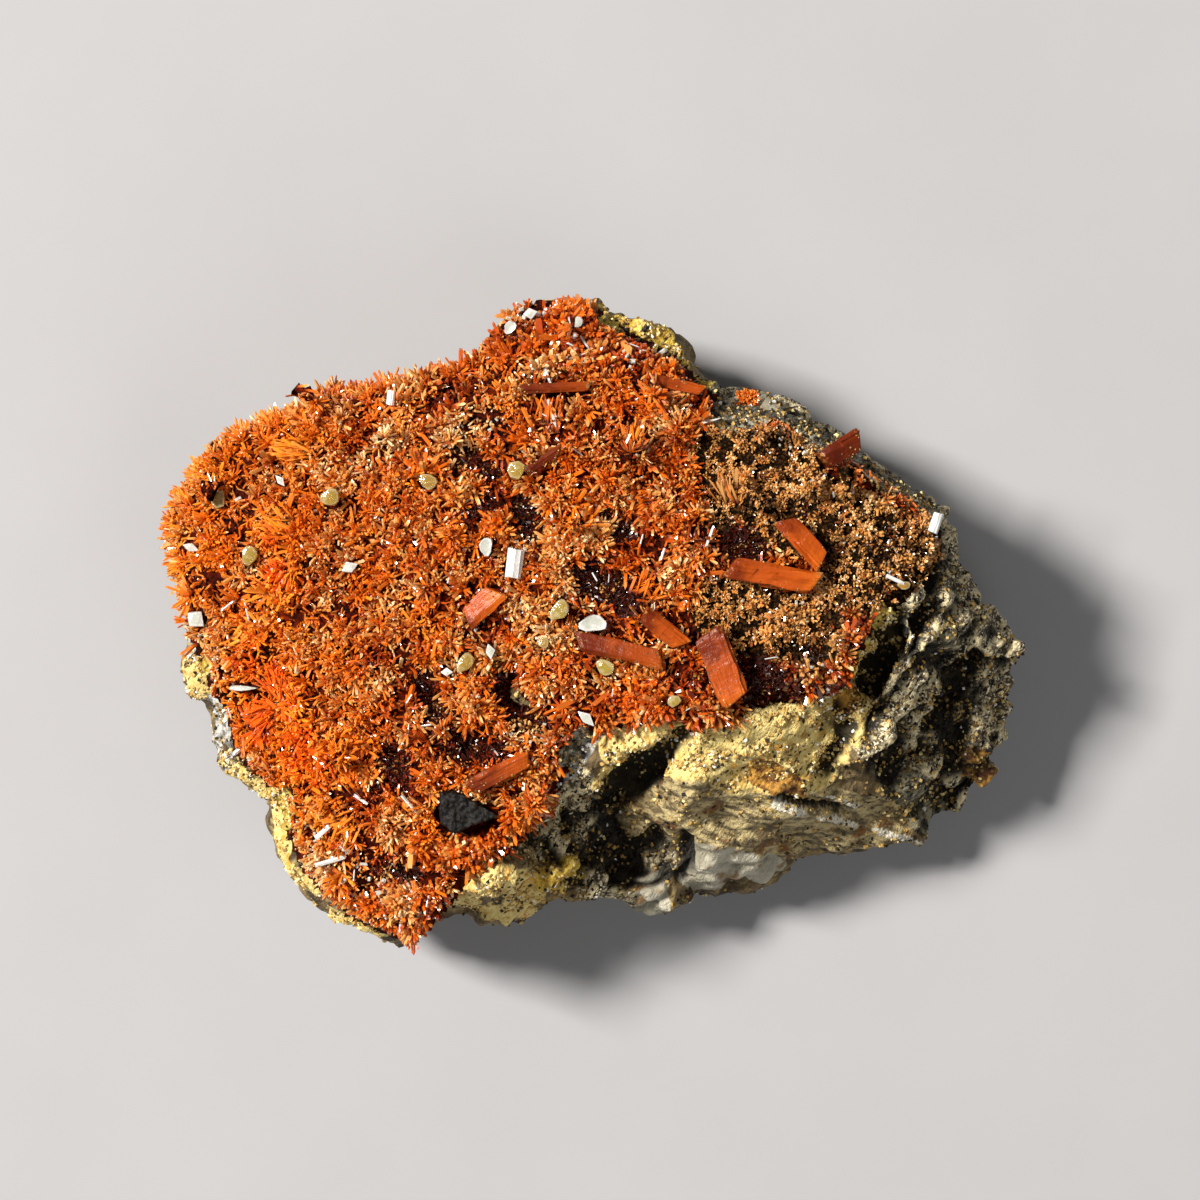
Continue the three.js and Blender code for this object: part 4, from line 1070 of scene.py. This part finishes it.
def fan_blades(bed):
    """The fans as a table for grow. Their blades lie low over the druse."""
    tops = points_of(bed.data)
    tables = []
    for place, heading, spread, reach, blades in FANS:
        number = 2 * blades
        start = at(*place)
        angle = np.radians(heading + rng.uniform(-spread, spread, number))
        rise = rng.uniform(0.05, 0.5, number)
        direction = unit(np.column_stack([np.cos(angle), np.sin(angle), rise]))
        places = np.tile([*start, top_near(tops, start, 0.9) + 0.5 * MM], (number, 1))
        places[:, :2] += rng.normal(scale=0.7 * MM, size=(number, 2))
        width = rng.uniform(0.26, 0.5, number) * MM
        length = reach * MM * rng.uniform(0.6, 1, number)
        tables.append(needle_table(places, direction, length, width, width * 0.4, np.full(number, 1.2), 0))
    table = joined(tables)
    table["dust_and_highlight"] = table["dust_and_highlight"] * 0.4
    return table


def part_of(table, chosen):
    return {key: values[chosen] for key, values in table.items()}


def joined(tables):
    return {key: np.concatenate([table[key] for table in tables]) for key in tables[0]}


def make_needles(bed, material):
    """The needles of the druse in pieces from left to right, then the small crystals of its fine-grained
    patches and those in its hollows and gaps."""
    outer, knob = value_of(bed, "outer"), value_of(bed, "knob")
    points = points_of(bed.data)
    fine = zone(points, DRUSE_ZONES["fine"])
    hollow = zone(points, DRUSE_ZONES["hollow"])
    glassy = zone(points, DRUSE_ZONES["glassy"])
    on_heads = 0.04 + 0.3 * glassy + np.clip(2.2 * (knob - 0.3), 0, 1)
    coarse = outer * (1 - fine) * on_heads * (1 - 0.7 * hollow)
    shapes = [needle_shape(3, "point", 0.14), needle_shape(4, "ridge", 0.1, math.pi / 4),
              needle_shape(4, "slope", 0.14)]
    needles = joined([
        sprays(bed, SPRAYS, IN_SPRAY, (1.1, 2.2), (0.2, 0.34), coarse),
        druse_needles(bed, NEEDLES, (0.7, 1.7), (0.18, 0.34), (0.3, 1.4), coarse),
        druse_needles(bed, LONG_NEEDLES, (1.5, 2.5), (0.32, 0.5), (0.8, 1.4), coarse * (1 - hollow)),
        fan_blades(bed),
    ])
    grainy = outer * fine * (0.08 + np.maximum(knob, 0) ** 2)
    deep = outer * (hollow + 0.6 * (1 - fine) * np.clip(1.2 - 2 * knob, 0, 1))
    small = {
        "fine": sprays(bed, FINE_SPRAYS, IN_FINE_SPRAY, (0.45, 0.9), (0.16, 0.28), grainy),
        "deep": druse_needles(bed, DEEP_CRYSTALS, (0.5, 1.2), (0.2, 0.42), (0.3, 1.4), deep),
    }
    limits = [-1, at(-30, 0)[0], at(-14, 0)[0], at(2, 0)[0], 1]
    for i, name in enumerate(("left", "inner_left", "inner_right", "right")):
        chosen = (needles["root"][:, 0] > limits[i]) & (needles["root"][:, 0] <= limits[i + 1])
        piece = grow(f"crocoite_needles_{name}", shapes, part_of(needles, chosen))
        finish_piece(piece, ["crocoite_crust"], material)
    for name, table in small.items():
        piece = grow(f"crocoite_druse_{name}", shapes, table)
        finish_piece(piece, ["crocoite_crust"], material)


# Thin clear laths of cerussite: where the middle of each is, its compass heading in degrees and its length
# in millimetres.
LATHS = [
    ((-27.1, -19.9), -34, 1.9), ((-21.5, -20.4), -49, 2.8), ((-31.1, -23.3), 42, 3.2),
    ((-30.7, -27), 16, 3.6), ((-28, -28.6), 85, 1.3), ((-40, 1.3), -77, 2.3), ((-42.2, 2.1), 37, 2.0),
    ((-42.1, -10.2), -70, 1.5), ((-21.5, -8.4), 58, 1.2), ((-19.5, -11.4), 10, 1.4),
    ((-21.6, -11.8), 88, 1.0), ((-19.6, -31.5), 80, 1.3), ((-22.8, -34.6), 84, 1.2),
    ((-5.9, 28), -70, 1.9), ((-5.4, 23.7), -75, 3.2), ((-6.4, 23.6), -30, 1.0), ((-2.5, 19.3), -35, 1.4),
    ((12.6, 22.9), 15, 2.1), ((-1.7, 31.8), -55, 1.9), ((3.9, 31.5), -20, 1.2), ((-2.1, 30.4), 20, 1.2),
    ((4.6, 9.3), 75, 1.6), ((7, 7.8), 73, 1.5), ((12.3, 9.8), 70, 2.6), ((6.1, 1.8), 88, 1.1),
    ((19.2, -3.8), 10, 1.5), ((33.2, 5), -25, 2.2), ((1.4, -7.7), 84, 0.9), ((9.7, -9.6), 30, 0.9),
    ((-16.9, 5.3), 72, 1.5), ((-0.6, 5.3), -60, 1.1), ((1, 5.2), 85, 1.1),
]


def make_cerussite_laths(bed, material):
    """The thin laths, lying on the tips of the needles."""
    tops = points_of(bed.data)
    number = len(LATHS)
    middles, headings, lengths = zip(*LATHS)
    middles = np.array([at(*middle) for middle in middles])
    heading, length = np.radians(headings), np.array(lengths) * MM
    direction = unit(np.column_stack([np.cos(heading), np.sin(heading), rng.uniform(-0.1, 0.2, number)]))
    height = [top_near(tops, middle, 1) for middle in middles]
    centre = np.column_stack([middles, np.array(height) + 0.9 * MM])
    width = length * rng.uniform(0.12, 0.24, number)
    table = {
        "root": centre - direction * length[:, None] / 2, "direction": direction, "length": length,
        "width": width, "thick": 0.6 * width, "kind": np.zeros(number, int), "rim": np.ones(number),
    }
    finish_piece(grow("cerussite_laths", [needle_shape(6, "ridge", 0.2)], table), [], material)


def make_cerussite_grains(bed, material):
    """Tiny colourless cerussite crystals, scattered through the druse."""
    points = points_of(bed.data)
    frosted = zone(points, DRUSE_ZONES["frosted"])
    favoured = np.maximum(zone(points, DRUSE_ZONES["pale"]), 1.5 * frosted)
    where = value_of(bed, "outer") * (0.12 + favoured) * np.maximum(0.3 + value_of(bed, "knob"), 0)
    places, normals, read = scatter(bed, where, CERUSSITE_GRAINS)
    number = len(places)
    size = rng.uniform(0.2, 0.4, number) * (1 + 0.7 * read(frosted)) * MM
    up = unit(normals + np.array([0, 0, 0.6]))
    table = {
        "root": places + up * rng.uniform(0.1, 0.65, number)[:, None] * MM,
        "direction": unit(rng.normal(size=(number, 3)) + up * 0.3),
        "length": size * rng.uniform(1, 2, number),
        "width": size, "thick": size * rng.uniform(0.5, 1, number), "kind": np.zeros(number, int),
        "rim": rng.random(number),
    }
    table = part_of(table, clear_of_singles(table["root"], 0.6) & (zone(table["root"], BARE_RIMS) < 0.3))
    grains = grow("cerussite_grains", [needle_shape(6, "ridge", 0.2)], table)
    finish_piece(grains, [], material)


def make_tuft(material):
    """The small tuft of crocoite on the bare rock."""
    low, high = (np.array(corner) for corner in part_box("crocoite_tuft"))
    number = TUFT_NEEDLES
    place = low + (0.2 + 0.6 * rng.random((number, 3))) * (high - low) * np.array([1, 1, 0.35])
    spread = (place[:, :2] - (low + high)[:2] / 2) / (high - low)[:2]
    outwards = np.column_stack([spread * 1.6, np.full(number, 0.8)])
    direction = unit(outwards + 0.3 * rng.normal(size=(number, 3)))
    height = (high[2] - place[:, 2]) / direction[:, 2].clip(0.5)
    table = {
        "root": place, "direction": direction,
        "length": np.minimum(rng.uniform(0.5, 1.0, number) * MM, height),
        "width": rng.uniform(0.2, 0.34, number) * MM, "thick": np.full(number, 0.2 * MM),
        "kind": np.zeros(number, int), "tint": np.clip(rng.normal(0.6, 0.15, number), 0, 1),
        "dust_and_highlight": rng.random(number) * 0.6, "earthy": np.zeros(number),
    }
    tuft = grow("crocoite_tuft_needles", [needle_shape(4, "point", 0.2)], table)
    finish_piece(tuft, ["crocoite_tuft"], material)


# ---- Single crystals ------------------------------------------------------------------------------


DUST_SIZES = (0.08, 0.22)  # mm


def make_prism(node, shape, red, crest, ribs, material):
    """A large prism in the CAD crystal's space: a body whose crest lies to one side, by crest, and narrow
    ribs grown along it, with their ends aslant."""
    centre, axes, sizes = axes_of(node)
    points, faces = shape
    slants = rng.uniform(0.2, 0.6, 2) * rng.choice([-1, 1], 2) * sizes[0] / sizes[2]
    # Each bar's middle, width and thickness, its place along the prism and its length. The first is the body.
    bars = [(0, 1, 0.94, 0, 1)]
    for _ in range(ribs):
        length = rng.uniform(0.4, 0.9)
        middle, lengthwise = rng.uniform(-0.3, 0.3), rng.choice([-0.5, 0.5]) * (1 - length)
        bars.append((middle, rng.uniform(0.16, 0.3), rng.uniform(0.9, 1.0), lengthwise, length))
    all_points, all_faces, kept = [], [], {"across": [], "along": [], "end": [], "painted_glow": [], "edge": []}
    for i, (middle, width, thick, lengthwise, length) in enumerate(bars):
        local = points * np.array([width, thick, length])
        local[:, 0] += crest * local[:, 1] * np.clip(1 - 2 * np.abs(local[:, 0] / width), 0, 1) + middle
        local[:, 2] += lengthwise
        uneven = np.array([noise.noise(Vector(place) * 4 + Vector((i, 0, sizes[2] / MM))) for place in local])
        local[:, :2] *= 0.92 + 0.2 * uneven[:, None]
        # Each half moves as a whole here, so near the middle its faces can cross the other half's.
        top, bottom = points[:, 2] > 0, points[:, 2] < 0
        local[top, 2] -= slants[0] * local[top, 0] + abs(slants[0]) / 2
        local[bottom, 2] += slants[1] * local[bottom, 0] + abs(slants[1]) / 2
        all_points.append(centre + (local * sizes) @ axes)
        all_faces.append(faces + i * len(points))
        kept["across"].append(local[:, 0] * sizes[0] + local[:, 1] * sizes[1] * 0.5)
        kept["along"].append(local[:, 2] * sizes[2])
        kept["end"].append(2 * np.abs(local[:, 2]))
        # Painted light: brighter toward the end on the +X side, less on redder prisms.
        kept["painted_glow"].append(local[:, 2] * np.sign(axes[2][0]) + 0.6 - 0.5 * red)
        kept["edge"].append(np.maximum(np.abs(2 * local[:, 0]) ** 5, np.abs(2 * local[:, 2]) ** 7))
    obj = mesh_object(f"{node}_grown", np.concatenate(all_points), np.concatenate(all_faces))
    for name, values in kept.items():
        store(obj.data, name, np.concatenate(values))
    store(obj.data, "red", np.full(len(obj.data.vertices), red))
    shade(obj, False)
    finish_piece(obj, [node], material)
    return obj


def prism_dust(obj):
    """Grains of limonite stuck to a prism as a table for grow, most of them along its edges and ends."""
    facing = np.clip(normals_of(obj.data)[:, 2], 0, 1)
    patchy = np.clip(ripple(points_of(obj.data), 2.4, 47) - 0.2, 0, 1)
    number = int(5 * obj.dimensions.x * obj.dimensions.y / MM**2) + 20
    where = (0.1 * patchy**2 + value_of(obj, "edge")) * facing
    places, normals, read = scatter(obj, where, number)
    table = crumb_table(places, normals, rng.uniform(*DUST_SIZES, number) * MM)
    table["tint"] = rng.normal(0.36, 0.12, number).clip(0, 0.8)
    return part_of(table, rng.random(number) < read(value_of(obj, "edge")) ** 2 + 0.2 * read(patchy))


# The cerussites by number: the white ones, and those that are a ribbed prism, a block, a dished tablet or a
# wedge. The others are lemon and tablets.
WHITE_CERUSSITES = {6, 7, 8, 10, 11, 13, 17, 19, 20, 21, 22, 23, 24, 25, 26, 27}
RIBBED_CERUSSITES = {7, 17, 22}
BLOCK_CERUSSITES = {8, 11, 13, 19, 21, 23, 25, 27}
DISHED_CERUSSITES = {6, 10, 24}
WEDGE_CERUSSITE = 20


def make_cerussites(lemon, white):
    """Each cerussite in the CAD crystal's space, in its own shape and a little uneven."""
    tablets = [tablet_shape(9, 0.12), tablet_shape(7, 0.09), tablet_shape(11, 0.14)]
    ribbed = ribbed_shape()
    block = tablet_shape(4, 0.06)
    dished = tablet_shape(12, -0.12)
    names = sorted(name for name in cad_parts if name.startswith("cerussite"))
    for number, node in enumerate(names, 1):
        points, faces = tablets[number % 3]
        if number in RIBBED_CERUSSITES:
            points, faces = ribbed
        elif number in BLOCK_CERUSSITES:
            points, faces = block
        elif number in DISHED_CERUSSITES:
            points, faces = dished
        centre, axes, sizes = axes_of(node)
        unit_points = (points - (points.max(0) + points.min(0)) / 2) / np.ptp(points, axis=0)
        uneven = [noise.noise_vector(Vector(place) * 2.2 + Vector((number, 0, 0))) for place in unit_points]
        unit_points = unit_points * 0.96 + 0.08 * np.array(uneven)
        if number == WEDGE_CERUSSITE:
            unit_points[:, 0] *= 0.55 - 0.8 * unit_points[:, 2] * np.sign(axes[2][0])
        obj = mesh_object(f"{node}_grown", centre + (unit_points * sizes) @ axes, faces)
        store(obj.data, "rim", 2 * np.hypot(unit_points[:, 0], unit_points[:, 2]))
        store(obj.data, "green", np.full(len(points), 0 if number in WHITE_CERUSSITES else rng.random()))
        activate(obj)
        bpy.ops.object.shade_smooth_by_angle(angle=math.radians(30))
        finish_piece(obj, [node], white if number in WHITE_CERUSSITES else lemon)


def make_chip(material):
    """The black chip, its faces broken into knobs and lumps."""
    chip = copy_of("gossan_chip", "gossan_chip_broken")
    modify(chip, "REMESH", mode="VOXEL", voxel_size=0.16 * MM)
    points = points_of(chip.data)
    push(chip, 0.25 * lumps(points, 1.2) + 0.25 * (domes(points, 0.6) - 0.6))
    shade(chip, True)
    finish_piece(chip, ["gossan_chip"], material)


# ---- Camera, light and floor ----------------------------------------------------------------------

FRAME_WIDTH = 136.8 * MM  # what the camera takes in at AIM_SHARE of the specimen's height
AIM_SHARE = 0.7
LENS = 120.0
SENSOR = 36.0


def make_camera():
    """A long lens straight above the specimen."""
    data = bpy.data.cameras.new("camera")
    data.lens, data.sensor_width = LENS, SENSOR
    camera = bpy.data.objects.new("camera", data)
    level = (cad_box[0].z + cad_box[1].z) * AIM_SHARE
    camera.location = (*at(0, 2.7), level + FRAME_WIDTH * LENS / SENSOR)
    data.clip_start, data.clip_end = 0.01, 10
    bpy.context.scene.collection.objects.link(camera)
    bpy.context.scene.camera = camera


def area_light(name, azimuth, elevation, distance, size, power, colour):
    """A square light that faces the specimen, at a compass angle from +X and a height above the floor."""
    data = bpy.data.lights.new(name, "AREA")
    data.size, data.energy, data.color = size, power, linear(colour)[:3]
    light = bpy.data.objects.new(name, data)
    light.visible_glossy = name == "key"
    a, e = math.radians(azimuth), math.radians(elevation)
    direction = Vector((math.cos(a) * math.cos(e), math.sin(a) * math.cos(e), math.sin(e)))
    light.location = direction * distance + Vector((0, 0, 0.02))
    light.rotation_euler = direction.to_track_quat("Z", "Y").to_euler()
    bpy.context.scene.collection.objects.link(light)


def make_stage():
    """The floor, a small key light from the upper left, a broad weak fill and a dim white surround."""
    deselect()
    bpy.ops.mesh.primitive_plane_add(size=6, location=(0, 0, 0))
    floor = bpy.context.active_object
    floor.name = "floor"
    floor.data.materials.append(plain_floor())
    area_light("key", 158, 48, 2.2, 0.4, 98, "#FFFAF4")
    area_light("fill", -50, 52, 1.8, 1.0, 6.5, "#FFFFFF")
    world = bpy.data.worlds.new("studio")
    world.use_nodes = True
    background = world.node_tree.nodes["Background"]
    background.inputs["Color"].default_value = linear("#F0F0F0")
    background.inputs["Strength"].default_value = 0.15
    bpy.context.scene.world = world
    bpy.context.scene.view_settings.view_transform = "Standard"


# ---- The specimen ---------------------------------------------------------------------------------

make_camera()
make_stage()
druse_bed = make_bed(crocoite_bed())
grain_material = limonite_grains()
make_rock(druse_bed, limonite_gossan(), grain_material)
needle_material = crocoite_needles()
make_needles(druse_bed, needle_material)
make_tuft(needle_material)

# How red each large prism is, where its crest lies from one side to the other, and how many ribs it has.
PRISMS = {
    "long_prism": (0.1, 0.7, 2), "slanting_prism": (0.2, -0.4, 4), "rim_prism": (0.9, 0.3, 1),
    "broad_blade": (0.3, 0.6, 1), "short_blade": (0.3, 0.4, 2), "flat_prism": (0.5, -0.6, 0),
    "lower_prism": (0.4, 0.5, 1), "bright_blade": (0.0, -0.5, 1), "thin_upper_prism": (0.6, 0.3, 1),
    "upper_right_prism": (0.4, 0.3, 1), "slender_prism": (0.9, 0.3, 1),
}
prism = prism_shape()
prism_material = crocoite_prism()
dust_tables = []
for prism_name, (redness, crest_side, rib_number) in PRISMS.items():
    grown = make_prism(f"crocoite_{prism_name}", prism, redness, crest_side, rib_number, prism_material)
    dust_tables.append(prism_dust(grown))
dust_grains = grow("crocoite_prism_dust", crumb_shapes(), joined(dust_tables))
finish_piece(dust_grains, [], grain_material)

white_cerussite = cerussite("cerussite, colourless", "#DCDED0", "#FAFAF6", 0.35)
make_cerussites(cerussite("cerussite, lemon", "#CC9E48", "#F2DCA0", 0.55), white_cerussite)
make_cerussite_grains(druse_bed, white_cerussite)
make_cerussite_laths(druse_bed, white_cerussite)
make_chip(black_gossan())
